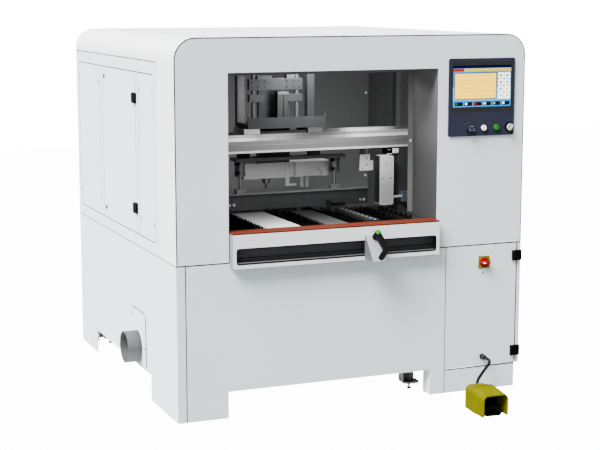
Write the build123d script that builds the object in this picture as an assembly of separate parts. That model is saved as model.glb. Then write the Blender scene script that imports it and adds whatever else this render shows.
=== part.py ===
from build123d import *
import os
from math import atan, degrees, radians, tan

# Compact CNC drilling and milling centre with a brush table, a gantry head and a foot switch.
# Millimetres, measured from the front left corner of the body on the floor:
# x to the right, y to the back, z up. The last step moves the origin to the middle of the floor box.

# Body
BODY_W = 1432.0
BODY_D = 1434.0
BODY_H = 1407.0
BASE_H = 585.0
SHEET = 2.0
BODY_SEAM = 2.0
PANEL_GAP = 1.2
TOP_RADIUS = 80.0
HOOD_D = 210.0
HOOD_FLANGE = 14.0
ROOF_DROP = 94.0

# Running fits
FIT = 0.3
BORE_FIT = 0.06

# Front opening
OPENING_X0 = 202.0
RIGHT_COLUMN_W = 380.0
OPENING_DROP = 128.0
REVEAL_D = 206.0
REVEAL_FLANGE = 22.0
RIB_W = 40.0
RIB_D = 22.0
RIB_INSET = 24.0
RIB_Y = (560.0, 900.0, 1240.0)

# Base panels and frame
CORNER_RETURN = 34.0
LEG_HOLE_H = 101.0
FRONT_LEG_LEFT = 197.0
FRONT_LEG_RIGHT = 64.0
SIDE_LEG_FRONT = 342.0
SIDE_LEG_REAR = 271.0
TUBE = 60.0
TUBE_WALL = 5.0
FOOT_RAIL_Y = 150.0
GANTRY_RAIL_SETBACK = 25.0

# Levelling feet
BRACKET_W = 64.0
BRACKET_T = 8.0
BRACKET_REACH = 65.0
BRACKET_Z = 27.0
BRACKET_CORNER = 12.0
GUSSET_T = 5.0
GUSSET_FRONT = 52.0
GUSSET_L = 97.0
FOOT_INSET_X = 93.0
FOOT_REACH = 30.0
FOOT_BOLT_R = 5.0
FOOT_BOLT_TOP = 62.0
FOOT_PAD_R = 9.0
FOOT_PAD_H = 6.0
FOOT_NUT_R = 10.0
FOOT_NUT_H = 8.0

# Dust spigot on the left side of the base
SPIGOT_R = 62.5
SPIGOT_WALL = 2.5
SPIGOT_L = 59.0
SPIGOT_Y = 502.0
SPIGOT_Z = 182.0
SPIGOT_PLATE_W = 200.0
SPIGOT_PLATE_DROP = 72.0
SPIGOT_PLATE_H = 215.0
SPIGOT_PLATE_T = 3.0
SPIGOT_PLATE_CORNER = 15.0

# Electrical cabinet at the right of the base
CABINET_W = 334.0
CABINET_D = 300.0
CABINET_STRIP = 20.0
PLINTH_H = 96.0
DOOR_FOLD = 17.0
DOOR_SEAT = 2.0
DOOR_GAP = 1.0
MOUNT_PLATE_T = 3.0
MOUNT_PLATE_MARGIN = 22.0
DEVICE_RAIL_T = 8.0
DEVICE_RAIL_H = 35.0
DEVICE_RAIL_END = 8.0
DEVICE_END = 12.0
DEVICE_GAP = 2.0
LOWER_DEVICES = 4
LOWER_DEVICE_RISE = 111.0
LOWER_DEVICE_H = 90.0
LOWER_DEVICE_D = 75.0
UPPER_DEVICES = 6
UPPER_DEVICE_DROP = 116.0
UPPER_DEVICE_H = 120.0
UPPER_DEVICE_D = 60.0
DUCT_GAP = 20.0
DUCT_D = 50.0

# Door hinges
HINGE_H = 41.0
HINGE_LEAF = 20.0
HINGE_LEAF_T = 5.0
HINGE_R = 5.0
HINGE_PIN_R = 2.0
HINGE_CLEAR = 0.4
HINGE_SPLIT = 0.5
CABINET_HINGE_INSET = 51.0

# Left side windows, door and fixed panels
WINDOW_RISE = 47.0
WINDOW_DROP = 50.0
FRONT_WINDOW_W = 204.0
DOOR_WINDOW_W = 490.0
WINDOW_POSTS = (44.0, 42.0, 50.0, 46.0)
LEDGE = 14.0
SIDE_HINGE_INSET = 100.0

# Main switch and cable gland on the cabinet door
SWITCH_OFFSET = 10.0
SWITCH_SIDE = 48.0
SWITCH_CORNER = 3.0
SWITCH_T = 4.0
SWITCH_TOP = 69.0
SWITCH_DIAL_R = 20.0
SWITCH_DIAL_T = 6.0
SWITCH_GRIP_L = 36.0
SWITCH_GRIP_W = 11.0
SWITCH_GRIP_H = 15.0
SWITCH_SHAFT_R = 4.0
SWITCH_SHAFT_IN = 14.0
GLAND_RISE = 38.0
GLAND_NUT_R = 12.0
GLAND_NUT_H = 9.0
GLAND_DOME_R = 9.0
GLAND_L = 26.0

# Operator console
CONSOLE_W = 288.0
CONSOLE_H = 299.0
CONSOLE_T = 6.0
CONSOLE_RIGHT = 48.0
CONSOLE_TOP = 92.0
CONSOLE_CORNER = 8.0
CONSOLE_RIM = 8.0
SCREEN_W = 256.0
SCREEN_H = 161.0
SCREEN_TOP = 27.0
SCREEN_T = 2.4
SCREEN_POCKET = 3.0
BUTTON_RISE = 31.0
ESTOP_X = 90.0
WHITE_X = 152.0
GREEN_X = 208.0
SELECTOR_X = 264.0
BEZEL_R = 14.5
BEZEL_WIDE_R = 17.0
BEZEL_T = 4.0
BUTTON_R = 10.8
BUTTON_OUT = 9.0
BUTTON_IN = 2.0
BUTTON_EDGE = 1.5
ESTOP_R = 16.0
ESTOP_H = 13.0
ESTOP_LIFT = 6.5
KNOB_R = 13.5
KNOB_H = 7.0
KNOB_EDGE = 0.5
KNOB_GRIP_W = 7.0
KNOB_GRIP_H = 8.0

# Front bar with its slot and the wear strip on top
TABLE_RISE = 115.0
BAR_OUT = 36.0
BAR_IN = 36.0
BAR_DROP = 17.0
BAR_SIDE_GAP = 3.5
STRIP_T = 6.0
SLOT_END = 13.0
SLOT_RISE = 14.0
SLOT_H = 61.0
SLOT_CORNER = 10.0
GUIDE_SETBACK = 22.0
GUIDE_D = 12.0
GUIDE_RISE = 8.0
GUIDE_H = 12.0

# Sliding clamp in the slot
CLAMP_INSET = 286.0
CLAMP_W = 68.0
CLAMP_RISE = 5.0
CLAMP_H = 87.0
CLAMP_TOP_D = 8.0
CLAMP_FOOT_D = 76.0
CLAMP_SHEET = 3.0
CLAMP_NECK_W = 42.0
CLAMP_NECK_H = 44.0
CLAMP_HOOK_H = 10.0
LEVER_HUB_X = -1.0
LEVER_HUB_DROP = 8.0
LEVER_HUB_R = 11.5
LEVER_HUB_L = 35.0
LEVER_BOSS_R = 8.0
LEVER_BOSS_L = 6.0
LEVER_ELBOW = (16.0, -71.0)
LEVER_TIP = (-11.0, -100.0)
LEVER_T = 14.0
LEVER_ARM_R = 11.0
LEVER_TIP_R = 11.0

# Table
DECK_T = 10.0
DECK_GAP = 4.0
DECK_D = 455.0
DECK_SIDE_GAP = 4.0
DECK_RIB_T = 20.0
BRUSH_H = 50.0
BRUSH_LEFT = 8.0
BRUSH_EXTRA = 12.0
BRUSH_INSETS = ((534.0, 441.0), (337.0, 284.0), (197.0, 102.0))
BRUSH_MARGIN = 5.0
BRUSH_L = 395.0
BRUSH_BACK_T = 12.0
TUFT_PITCH = 20.0
TUFT_SIDE = 6.0
TUFT_TAPER = 1.6
SLAT_H = 44.0
SLAT_WALL = 3.0
SLAT_GAP = 2.0
SLAT_BREAKS = ((0.0, 28.0), (33.0, 322.0), (332.0, 440.0))
EDGE_SLAT_SIDE = 2.0
STUD_R = 9.5
STUD_H = 20.0
STUD_PITCH = 43.0
STUD_COUNT = 7
STUD_MARGIN = 10.0
STUD_INSET = 12.0
GRIPPER_RAIL_W = 44.0
GRIPPER_RAIL_INSET = 240.0
GRIPPER_RAIL_H = 54.0
GRIPPER_NECK_W = 24.0
GRIPPER_HEAD_H = 12.0
GRIPPER_W = 72.0
GRIPPER_L = 46.0
GRIPPER_H = 30.0
GRIPPER_BACK = 58.0
GRIPPER_JAW_T = 8.0

# Gantry
BEAM_X0 = 40.0
BEAM_END = 32.0
BEAM_Y0 = 330.0
BEAM_D = 110.0
BEAM_RISE = 249.0
BEAM_H = 70.0
BEAM_CHAMFER = 24.0
BEAM_LIP = 6.0
BEAM_LIP_H = 7.0
BEAM_GROOVE = 8.0
UPRIGHT_LEFT_W = 60.0
UPRIGHT_OVERHANG = 4.0
UPRIGHT_RIGHT_W = 50.0
UPRIGHT_WALL = 6.0
RAIL_W = 20.0
RAIL_H = 10.0
TOP_RAIL_SETBACK = 32.0
REAR_RAIL_RISE = 36.0
RAIL_END = 20.0

# Head carriage and tool slide
HEAD_INSET = 202.0
HEAD_W = 328.0
BLOCK_L = 65.0
BLOCK_OVERHANG = 15.0
BLOCK_INSET = 10.0
BLOCK_W = 44.0
BLOCK_H = 20.0
BLOCK_GAP = 1.0
HEAD_PLATE_T = 18.0
HEAD_PLATE_SETBACK = 8.0
HEAD_PLATE_LAP = 8.0
HEAD_FLANGE_T = 6.0
HEAD_FLANGE_H = 43.0
HEAD_EAR_W = 10.0
HEAD_EAR_H = 12.0
COLUMN_W = 30.0
COLUMN_D = 31.0
HEAD_TOP_DROP = 107.0
HEAD_TOP_T = 12.0
GUIDE_ROD_R = 8.0
GUIDE_ROD_X = 93.0
GUIDE_ROD_GAP = 8.0
LIFT_X = -8.0
LIFT_W = 44.0
LIFT_D = 34.0
LIFT_CAP_D = 37.0
LIFT_CAP_H = 12.0
LIFT_SETBACK = 82.0
LIFT_TOP = 120.0
LIFT_GROOVE_W = 10.0
LIFT_GROOVE_D = 4.0
SLIDE_W = 132.0
SLIDE_GAP = 6.0
SLIDE_T = 20.0
CROSSHEAD_W = 226.0
CROSSHEAD_D = 24.0
CROSSHEAD_GAP = 17.0
CROSSHEAD_LIFT = 1.5
CROSSHEAD_H = (30.0, 44.0)
CROSSHEAD_BOSS_W = 61.0
LUG_SPANS = ((-78.0, -18.0), (46.0, 81.0))
LUG_H = (12.0, 18.0)
TOOL_BLOCK_INSET = 33.0
TOOL_BLOCK_W = 376.0
TOOL_BLOCK_D = 110.0
TOOL_BLOCK_RISE = 126.0
TOOL_BLOCK_H = 62.0
TOOL_BLOCK_GROOVE_X = 197.0
TOOL_BLOCK_GROOVE_W = 26.0
TOOL_BLOCK_GROOVE_D = 14.0
TOOL_BLOCK_ARC_X = 300.0
TOOL_BLOCK_ARC_R = 42.0
NOZZLE_W = 17.0
NOZZLE_T = 3.0
NOZZLE_DROP = 34.0
NOZZLE_HOOK = 30.0
NOZZLE_HOOK_H = 8.0
STOP_ROD_R = 8.0
STOP_ROD_DROP = 50.0
STOP_ROD_X = (272.0, 296.0)
SPINDLE_X = 120.0
SPINDLE_SETBACK = 67.0
MOTOR_R = 40.0
MOTOR_H = 150.0
MOTOR_CAP_R = 32.0
MOTOR_CAP_H = 14.0
MOTOR_FIN_T = 3.0
MOTOR_FIN_PITCH = 12.0
MOTOR_FIN_DEPTH = 3.0
MOTOR_FIN_COUNT = 9
SHAFT_R = 12.0
SHAFT_IN = 30.0
NOSE_R = 22.0
NOSE_H = 12.0
COLLET_R = 15.0
COLLET_H = 14.0
TOOL_R = 5.0
TOOL_L = 22.0

# Presser across the table
PRESSER_LEFT = 52.0
PRESSER_RIGHT = 86.0
PRESSER_GAP = 2.0
PRESSER_T = 16.0
PRESSER_H = 68.0
PRESSER_RISE = 7.0
PRESSER_LIP = 10.0
PRESSER_LIP_T = 5.0
CYLINDER_INSETS = (260.0, 148.0)
CYLINDER_R = 20.0
CYLINDER_H = 61.0
CYLINDER_CAP_R = 22.0
CYLINDER_CAP_H = 18.0
PRESSER_ROD_R = 6.0
PRESSER_ROD_IN = 8.0
PRESSER_FOOT_W = 38.0
PRESSER_FOOT_D = 26.0
PRESSER_FOOT_H = 18.0
CARRIER_T = 13.0
CARRIER_OVERHANG = 12.0
HANGER_OFFSETS = (16.0, 124.0)
HANGER_W = 42.0
HANGER_H = 30.0
HANGER_D = 35.0
SENSOR_INSET = 53.0
SENSOR_W = 50.0
SENSOR_SETBACK = 4.0
SENSOR_D = 44.0
BRACKET_PLATE_INSET = 138.0
BRACKET_PLATE_W = 58.0
BRACKET_PLATE_H = 66.0
BRACKET_PLATE_T = 4.0
BRACKET_PLATE_DROP = 35.0
BRACKET_NOTCH_W = 14.0
BRACKET_NOTCH_H = 26.0
BRACKET_STRAP_W = 24.0

# Side pusher at the right of the table
PUSHER_INSET = 100.0
PUSHER_W = 62.0
PUSHER_D = 45.0
PUSHER_RISE = 18.0
PUSHER_H = 199.0
PUSHER_WALL = 3.0
PUSHER_CORNER = 8.0
PUSHER_ROD_R = 6.0
PUSHER_ROD_RISE = 48.0
PUSHER_ROD_SETBACK = 10.0
PUSHER_ROD_GAP = 39.0
PUSHER_BODY_L = 97.0
PUSHER_BODY_SIDE = 40.0
PUSHER_ROD_IN = 57.0

# Foot switch on the floor in front of the cabinet
GUARD_W = 106.0
GUARD_H = 95.0
GUARD_FRONT_H = 84.0
GUARD_L = 92.0
GUARD_WALL = 4.0
GUARD_RADIUS = 22.0
GUARD_BODY_W = 100.0
GUARD_BODY_H = 96.0
GUARD_TAIL_W = 90.0
GUARD_TAIL_H = 88.0
GUARD_TAIL_L = 64.0
PEDAL_BASE_W = 80.0
PEDAL_BASE_T = 6.0
PEDAL_BASE_L = 82.0
PEDAL_EAR_T = 6.0
PEDAL_EAR_L = 22.0
PEDAL_EAR_H = 52.0
PEDAL_PIN_R = 3.0
PEDAL_PIN_Z = 42.0
TREADLE_W = 58.0
TREADLE_L = 66.0
TREADLE_T = 5.0
TREADLE_DROP = 14.0
TREADLE_BARREL_R = 6.0

# Foot cable, from the gland on the cabinet door to the back of the foot switch
CABLE_R = 6.0
CABLE_STEPS = ((0.0, 0.0, 0.0), (0.0, -35.0, 0.0), (-13.0, -62.0, -5.0), (-65.0, -102.0, -25.0),
               (-107.0, -130.0, -44.0), (-118.0, -152.0, -54.0), (-118.0, -178.0, -54.0))
CABLE_ENTRY = 22.0

# Places worked out from the sizes above
upper_z0 = BASE_H + BODY_SEAM
roof_z = BODY_H - ROOF_DROP
side_top = roof_z - FIT
opening_x1 = BODY_W - RIGHT_COLUMN_W
opening_top = BODY_H - OPENING_DROP
cabinet_x0 = BODY_W - CABINET_W
plinth_x1 = BODY_W - CABINET_STRIP
door_y1 = SHEET + DOOR_FOLD
cabinet_y0 = door_y1 + DOOR_SEAT
cabinet_y1 = cabinet_y0 + CABINET_D
frame_x1 = cabinet_x0 - SHEET
frame_y1 = BODY_D - SHEET
leg_hole_x1 = cabinet_x0 - FRONT_LEG_RIGHT
hinge_off = HINGE_R + HINGE_CLEAR
window_z0 = upper_z0 + WINDOW_RISE
window_z1 = roof_z - WINDOW_DROP
front_window_y0 = HOOD_D + WINDOW_POSTS[0]
front_window_y1 = front_window_y0 + FRONT_WINDOW_W
door_window_y0 = front_window_y1 + WINDOW_POSTS[1]
door_window_y1 = door_window_y0 + DOOR_WINDOW_W
front_window = (front_window_y0, front_window_y1)
door_window = (door_window_y0, door_window_y1)
rear_window = (door_window_y1 + WINDOW_POSTS[2], BODY_D - WINDOW_POSTS[3])
side_hinge_y = door_window_y0 + PANEL_GAP / 2
cabinet_hinge_x = plinth_x1
switch_x = (cabinet_x0 + plinth_x1) / 2 + SWITCH_OFFSET
switch_z = BASE_H - SWITCH_TOP
gland_z = PLINTH_H + GLAND_RISE
console_x1 = BODY_W - CONSOLE_RIGHT
console_x0 = console_x1 - CONSOLE_W
console_z1 = BODY_H - CONSOLE_TOP
console_z0 = console_z1 - CONSOLE_H
button_z = console_z0 + BUTTON_RISE
table_z = BASE_H + TABLE_RISE
bar_x0 = OPENING_X0 + BAR_SIDE_GAP
bar_x1 = opening_x1 - BAR_SIDE_GAP
bar_z0 = BASE_H - BAR_DROP
bar_z1 = table_z - STRIP_T
slot_z0 = bar_z0 + SLOT_RISE
guide_y0 = GUIDE_SETBACK - BAR_OUT
guide_z0 = slot_z0 + GUIDE_RISE
clamp_x = opening_x1 - CLAMP_INSET
clamp_z0 = bar_z0 + CLAMP_RISE
clamp_back = -BAR_OUT - FIT
clamp_z1 = clamp_z0 + CLAMP_H
lever_x = clamp_x + LEVER_HUB_X
lever_z = clamp_z1 - LEVER_HUB_DROP
clamp_slope = (CLAMP_FOOT_D - CLAMP_TOP_D) / CLAMP_H
lever_tilt = degrees(atan(clamp_slope))
lever_seat_y = clamp_back - CLAMP_TOP_D - LEVER_HUB_DROP * clamp_slope
deck_y0 = BAR_IN + DECK_GAP
deck_y1 = deck_y0 + DECK_D
deck_z1 = table_z - BRUSH_H
deck_z0 = deck_z1 - DECK_T
deck_x0 = OPENING_X0 + DECK_SIDE_GAP
deck_x1 = opening_x1 - DECK_SIDE_GAP
slat_z1 = deck_z1 + SLAT_H
brush_y0 = deck_y0 + BRUSH_MARGIN
brush_y1 = brush_y0 + BRUSH_L
left_brush_x0 = OPENING_X0 + BRUSH_LEFT
left_field_w = opening_x1 - BRUSH_INSETS[0][0] - left_brush_x0
left_brush_x1 = left_brush_x0 + (left_field_w + BRUSH_EXTRA) / 2
brush_spans = [(left_brush_x0, left_brush_x1)] + [(opening_x1 - a, opening_x1 - b) for a, b in BRUSH_INSETS]
edge_slat_x0 = brush_spans[3][1] + SLAT_GAP
gripper_x = opening_x1 - GRIPPER_RAIL_INSET
gripper_y0 = brush_y1 - GRIPPER_BACK
beam_x1 = BODY_W - BEAM_END
beam_y1 = BEAM_Y0 + BEAM_D
beam_z0 = table_z + BEAM_RISE
beam_z1 = beam_z0 + BEAM_H
upright_right_x0 = frame_x1 + UPRIGHT_OVERHANG - UPRIGHT_RIGHT_W
gantry_rail_y = BEAM_Y0 + GANTRY_RAIL_SETBACK
top_rail_y = BEAM_Y0 + TOP_RAIL_SETBACK
rear_rail_z = beam_z0 + REAR_RAIL_RISE
block_z0 = beam_z1 + BLOCK_GAP
head_z0 = block_z0 + BLOCK_H
head_z1 = head_z0 + HEAD_PLATE_T
head_x0 = OPENING_X0 + HEAD_INSET
head_x1 = head_x0 + HEAD_W
head_x = (head_x0 + head_x1) / 2
presser_x0 = OPENING_X0 - PRESSER_LEFT
presser_x1 = opening_x1 - PRESSER_RIGHT
presser_y0 = beam_y1 + PRESSER_GAP
presser_z0 = table_z + PRESSER_RISE
presser_z1 = presser_z0 + PRESSER_H
cylinder_x = (presser_x0 + CYLINDER_INSETS[0], presser_x1 - CYLINDER_INSETS[1])
cylinder_y = presser_y0 + PRESSER_T / 2
carrier_y0 = beam_y1 - HANGER_D
carrier_y1 = cylinder_y + CYLINDER_CAP_R
carrier_z1 = beam_z0 - HANGER_H
carrier_z0 = carrier_z1 - CARRIER_T
cylinder_z0 = carrier_z0 - CYLINDER_H
sensor_x0 = opening_x1 - SENSOR_INSET
sensor_y0 = BEAM_Y0 + SENSOR_SETBACK
bracket_plate_x0 = opening_x1 - BRACKET_PLATE_INSET
slide_y0 = carrier_y1 + SLIDE_GAP
guide_rod_y = slide_y0 - GUIDE_ROD_GAP
head_plate_y0 = BEAM_Y0 + HEAD_PLATE_SETBACK
head_plate_y1 = slide_y0 + HEAD_PLATE_LAP
column_y0 = head_plate_y1 - COLUMN_D
head_top_z = BODY_H - HEAD_TOP_DROP
crosshead_stack = CROSSHEAD_H[0] + CROSSHEAD_GAP + CROSSHEAD_H[1]
crosshead_z0 = (head_z1 + head_top_z - crosshead_stack) / 2 + CROSSHEAD_LIFT
crosshead_z = (crosshead_z0, crosshead_z0 + CROSSHEAD_H[0] + CROSSHEAD_GAP)
tool_block_x0 = head_x0 + TOOL_BLOCK_INSET
tool_block_z0 = table_z + TOOL_BLOCK_RISE
tool_block_z1 = tool_block_z0 + TOOL_BLOCK_H
spindle_x = tool_block_x0 + SPINDLE_X
spindle_y = slide_y0 + SPINDLE_SETBACK
pusher_x0 = opening_x1 - PUSHER_INSET
pusher_x1 = pusher_x0 + PUSHER_W
pusher_z0 = table_z + PUSHER_RISE
pusher_rod_y = BEAM_Y0 - PUSHER_BODY_SIDE / 2
pusher_rod_z = table_z + PUSHER_ROD_RISE
pusher_y0 = pusher_rod_y - PUSHER_ROD_SETBACK
pusher_body_x0 = pusher_x1 + PUSHER_ROD_GAP
cable_points = [(switch_x + x, y - GLAND_L, gland_z + z) for x, y, z in CABLE_STEPS]
pedal_x = cable_points[-1][0] - CABLE_ENTRY
guard_y1 = cable_points[-1][1] - GUARD_TAIL_L
pedal_front = guard_y1 - GUARD_L
pedal_pin_y = guard_y1 - PEDAL_EAR_L / 2

# Origin: the middle of the floor box round the body, the dust spigot and the foot switch
spigot_x0 = -SPIGOT_PLATE_T - SPIGOT_L
ORIGIN = ((BODY_W + spigot_x0) / 2, (BODY_D + pedal_front) / 2, 0.0)


def block(x0, x1, y0, y1, z0, z1):
    """Box between two corners."""
    size = Box(x1 - x0, y1 - y0, z1 - z0)
    return Pos((x0 + x1) / 2, (y0 + y1) / 2, (z0 + z1) / 2) * size


def prism_x(sketch, x0, x1):
    """Sketch drawn in (y, z), extruded from x0 to x1."""
    plane = Plane(origin=(x0, 0, 0), x_dir=(0, 1, 0), z_dir=(1, 0, 0))
    return extrude(plane * sketch, x1 - x0)


def prism_y(sketch, y0, y1):
    """Sketch drawn in (x, z), extruded from y0 to y1."""
    plane = Plane(origin=(0, y1, 0), x_dir=(1, 0, 0), z_dir=(0, -1, 0))
    return extrude(plane * sketch, y1 - y0)


def rod_x(radius, x0, x1, y, z):
    return prism_x(Pos(y, z) * Circle(radius), x0, x1)


def rod_y(radius, y0, y1, x, z):
    return prism_y(Pos(x, z) * Circle(radius), y0, y1)


def rod_z(radius, z0, z1, x, y):
    return Pos(x, y, (z0 + z1) / 2) * Cylinder(radius, z1 - z0)


def bar_2d(start, start_r, end, end_r):
    """Tapered bar with round ends between two points."""
    ends = Pos(*start) * Circle(start_r) + Pos(*end) * Circle(end_r)
    return make_hull(ends.edges())


def group(pieces):
    """Separate solids that share one node."""
    return Compound(children=[solid for piece in pieces for solid in piece.solids()])


def arch(inset, y0, y1, z0):
    """Body outline seen from the front, drawn in by inset, as a solid slab above z0."""
    width = BODY_W - 2 * inset
    outline = Pos(BODY_W / 2, z0) * Rectangle(width, BODY_H - inset - z0, align=(Align.CENTER, Align.MIN))
    top = outline.vertices().group_by(Axis.Y)[-1]
    return prism_y(fillet(top, TOP_RADIUS - inset), y0, y1)


def channel(x0, x1, y0, y1, z0, open_side):
    """Level rail folded to a channel, TUBE high and open towards +x, -x, +y or -y."""
    cut = {"+x": (1, 0), "-x": (-1, 0), "+y": (0, 1), "-y": (0, -1)}[open_side]
    walls = [x0, x1, y0, y1]
    if cut[0]:
        walls[0 if cut[0] > 0 else 1] += cut[0] * TUBE_WALL
    else:
        walls[2 if cut[1] > 0 else 3] += cut[1] * TUBE_WALL
    return block(x0, x1, y0, y1, z0, z0 + TUBE) - block(*walls, z0 + TUBE_WALL, z0 + TUBE - TUBE_WALL)


def post(x0, y0):
    tube = block(x0, x0 + TUBE, y0, y0 + TUBE, 0, BASE_H)
    wall = TUBE_WALL
    return tube - block(x0 + wall, x0 + TUBE - wall, y0 + wall, y0 + TUBE - wall, 0, BASE_H)


def base_frame():
    left, right = SHEET, frame_x1 - TUBE
    front, rear = SHEET, frame_y1 - TUBE
    posts = [post(x, y) for x in (left, right) for y in (front, rear)]
    top_z = BASE_H - TUBE
    duct = (SPIGOT_Y - SPIGOT_PLATE_W / 2, SPIGOT_Y + SPIGOT_PLATE_W / 2)
    rails = [
        channel(left, left + TUBE, front + TUBE, rear, top_z, "+x"),
        channel(right, right + TUBE, front + TUBE, rear, top_z, "-x"),
        channel(left, left + TUBE, front + TUBE, duct[0], LEG_HOLE_H, "+x"),
        channel(left, left + TUBE, duct[1], rear, LEG_HOLE_H, "+x"),
        channel(right, right + TUBE, front + TUBE, rear, LEG_HOLE_H, "-x"),
    ]
    inner = (left + TUBE, right)
    rear_foot_y = BODY_D - FOOT_RAIL_Y - TUBE
    rails += [
        channel(*inner, front, front + TUBE, top_z, "+y"),
        channel(*inner, gantry_rail_y, gantry_rail_y + TUBE, top_z, "+y"),
        channel(*inner, rear, rear + TUBE, top_z, "-y"),
        channel(*inner, FOOT_RAIL_Y, FOOT_RAIL_Y + TUBE, LEG_HOLE_H, "+y"),
        channel(*inner, rear_foot_y, rear_foot_y + TUBE, LEG_HOLE_H, "-y"),
    ]
    return posts[0] + posts[1:] + rails


def base_left_panel():
    side = block(0, SHEET, 0, BODY_D, 0, BASE_H)
    returns = [block(0, CORNER_RETURN, y, y + SHEET, 0, BASE_H) for y in (0, BODY_D - SHEET)]
    leg_hole = block(0, SHEET, SIDE_LEG_FRONT, BODY_D - SIDE_LEG_REAR, 0, LEG_HOLE_H)
    duct = rod_x(SPIGOT_R - SPIGOT_WALL, 0, SHEET, SPIGOT_Y, SPIGOT_Z)
    return side + returns - leg_hole - duct


def base_front_panel():
    plate = block(CORNER_RETURN + PANEL_GAP / 2, cabinet_x0 - PANEL_GAP / 2, 0, SHEET, 0, BASE_H)
    return plate - block(FRONT_LEG_LEFT, leg_hole_x1, 0, SHEET, 0, LEG_HOLE_H)


def base_rear_panel():
    y0 = BODY_D - SHEET
    plate = block(CORNER_RETURN + PANEL_GAP / 2, plinth_x1, y0, BODY_D, 0, BASE_H)
    return plate - block(FRONT_LEG_LEFT, leg_hole_x1, y0, BODY_D, 0, LEG_HOLE_H)


def base_right_panel():
    y0 = cabinet_y1 + PANEL_GAP / 2
    x0 = plinth_x1 + PANEL_GAP / 2
    side = block(BODY_W - SHEET, BODY_W, y0, BODY_D, PLINTH_H, BASE_H)
    rear_return = block(x0, BODY_W, BODY_D - SHEET, BODY_D, PLINTH_H, BASE_H)
    floor = block(plinth_x1 - CABINET_STRIP, BODY_W, y0, BODY_D - SHEET, PLINTH_H, PLINTH_H + SHEET)
    return side + [rear_return, floor]


def plinth_panels():
    front = block(cabinet_x0 + PANEL_GAP / 2, plinth_x1, 0, SHEET, 0, PLINTH_H)
    side_x0 = plinth_x1 - SHEET
    front_side = block(side_x0, plinth_x1, 0, SIDE_LEG_FRONT, 0, PLINTH_H)
    rear_side = block(side_x0, plinth_x1, BODY_D - SIDE_LEG_REAR, BODY_D - SHEET, 0, PLINTH_H)
    return group([front + front_side, rear_side])


def foot_places():
    """Left or right and front or rear of each levelling bolt, with the way its bracket faces."""
    right_x = frame_x1 - FOOT_INSET_X
    left_x = SHEET + FOOT_INSET_X
    front_y = FOOT_RAIL_Y - FOOT_REACH
    rear_y = BODY_D - front_y
    return [(x, y, way) for x in (left_x, right_x) for y, way in ((front_y, -1), (rear_y, 1))]


def levelling_brackets():
    brackets = []
    for x, y, way in foot_places():
        x0, x1 = x - BRACKET_W / 2, x + BRACKET_W / 2
        back = y - way * FOOT_REACH
        upright = sorted((back, back + way * BRACKET_T))
        shelf = sorted((back, back + way * BRACKET_REACH))
        tab_x = (max(x0, SHEET + TUBE), min(x1, frame_x1 - TUBE))
        bracket = block(x0, x1, *upright, BRACKET_Z, LEG_HOLE_H)
        bracket += block(*tab_x, *upright, LEG_HOLE_H, LEG_HOLE_H + TUBE)
        plan = Pos(x, sum(shelf) / 2) * RectangleRounded(BRACKET_W, BRACKET_REACH, BRACKET_CORNER)
        bracket += Pos(0, 0, BRACKET_Z) * extrude(plan, BRACKET_T)
        front = (back + way * GUSSET_FRONT, LEG_HOLE_H)
        rear = (front[0] - way * GUSSET_L, LEG_HOLE_H)
        side = Polygon((front[0], BRACKET_Z), front, rear, align=None)
        bracket += prism_x(side, x0, x0 + GUSSET_T)
        brackets.append(bracket - rod_z(FOOT_BOLT_R + FIT, 0, FOOT_BOLT_TOP, x, y))
    return group(brackets)


def levelling_feet():
    feet = []
    nut_z0 = BRACKET_Z + BRACKET_T
    for x, y, way in foot_places():
        foot = rod_z(FOOT_PAD_R, 0, FOOT_PAD_H, x, y) + rod_z(FOOT_BOLT_R, 0, FOOT_BOLT_TOP, x, y)
        nut = Pos(x, y, nut_z0) * extrude(RegularPolygon(FOOT_NUT_R, 6), FOOT_NUT_H)
        feet.append(foot + nut)
    return group(feet)


def dust_spigot():
    plate_z = SPIGOT_Z - SPIGOT_PLATE_DROP + SPIGOT_PLATE_H / 2
    outline = RectangleRounded(SPIGOT_PLATE_W, SPIGOT_PLATE_H, SPIGOT_PLATE_CORNER)
    plate = prism_x(Pos(SPIGOT_Y, plate_z) * outline, -SPIGOT_PLATE_T, 0)
    pipe = rod_x(SPIGOT_R, spigot_x0, 0, SPIGOT_Y, SPIGOT_Z)
    return plate + pipe - rod_x(SPIGOT_R - SPIGOT_WALL, spigot_x0, 0, SPIGOT_Y, SPIGOT_Z)


def electrical_cabinet():
    box = block(cabinet_x0, BODY_W, cabinet_y0, cabinet_y1, PLINTH_H, BASE_H)
    room = block(cabinet_x0 + SHEET, BODY_W - SHEET, cabinet_y0, cabinet_y1 - SHEET,
                 PLINTH_H + SHEET, BASE_H - SHEET)
    jamb_x0 = plinth_x1 + PANEL_GAP / 2
    strip = block(jamb_x0, BODY_W, 0, SHEET, PLINTH_H, BASE_H)
    jamb = block(jamb_x0, jamb_x0 + SHEET, 0, cabinet_y0, PLINTH_H, BASE_H)
    side = block(BODY_W - SHEET, BODY_W, 0, cabinet_y0, PLINTH_H, BASE_H)
    return box - room + [strip, jamb, side]


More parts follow.
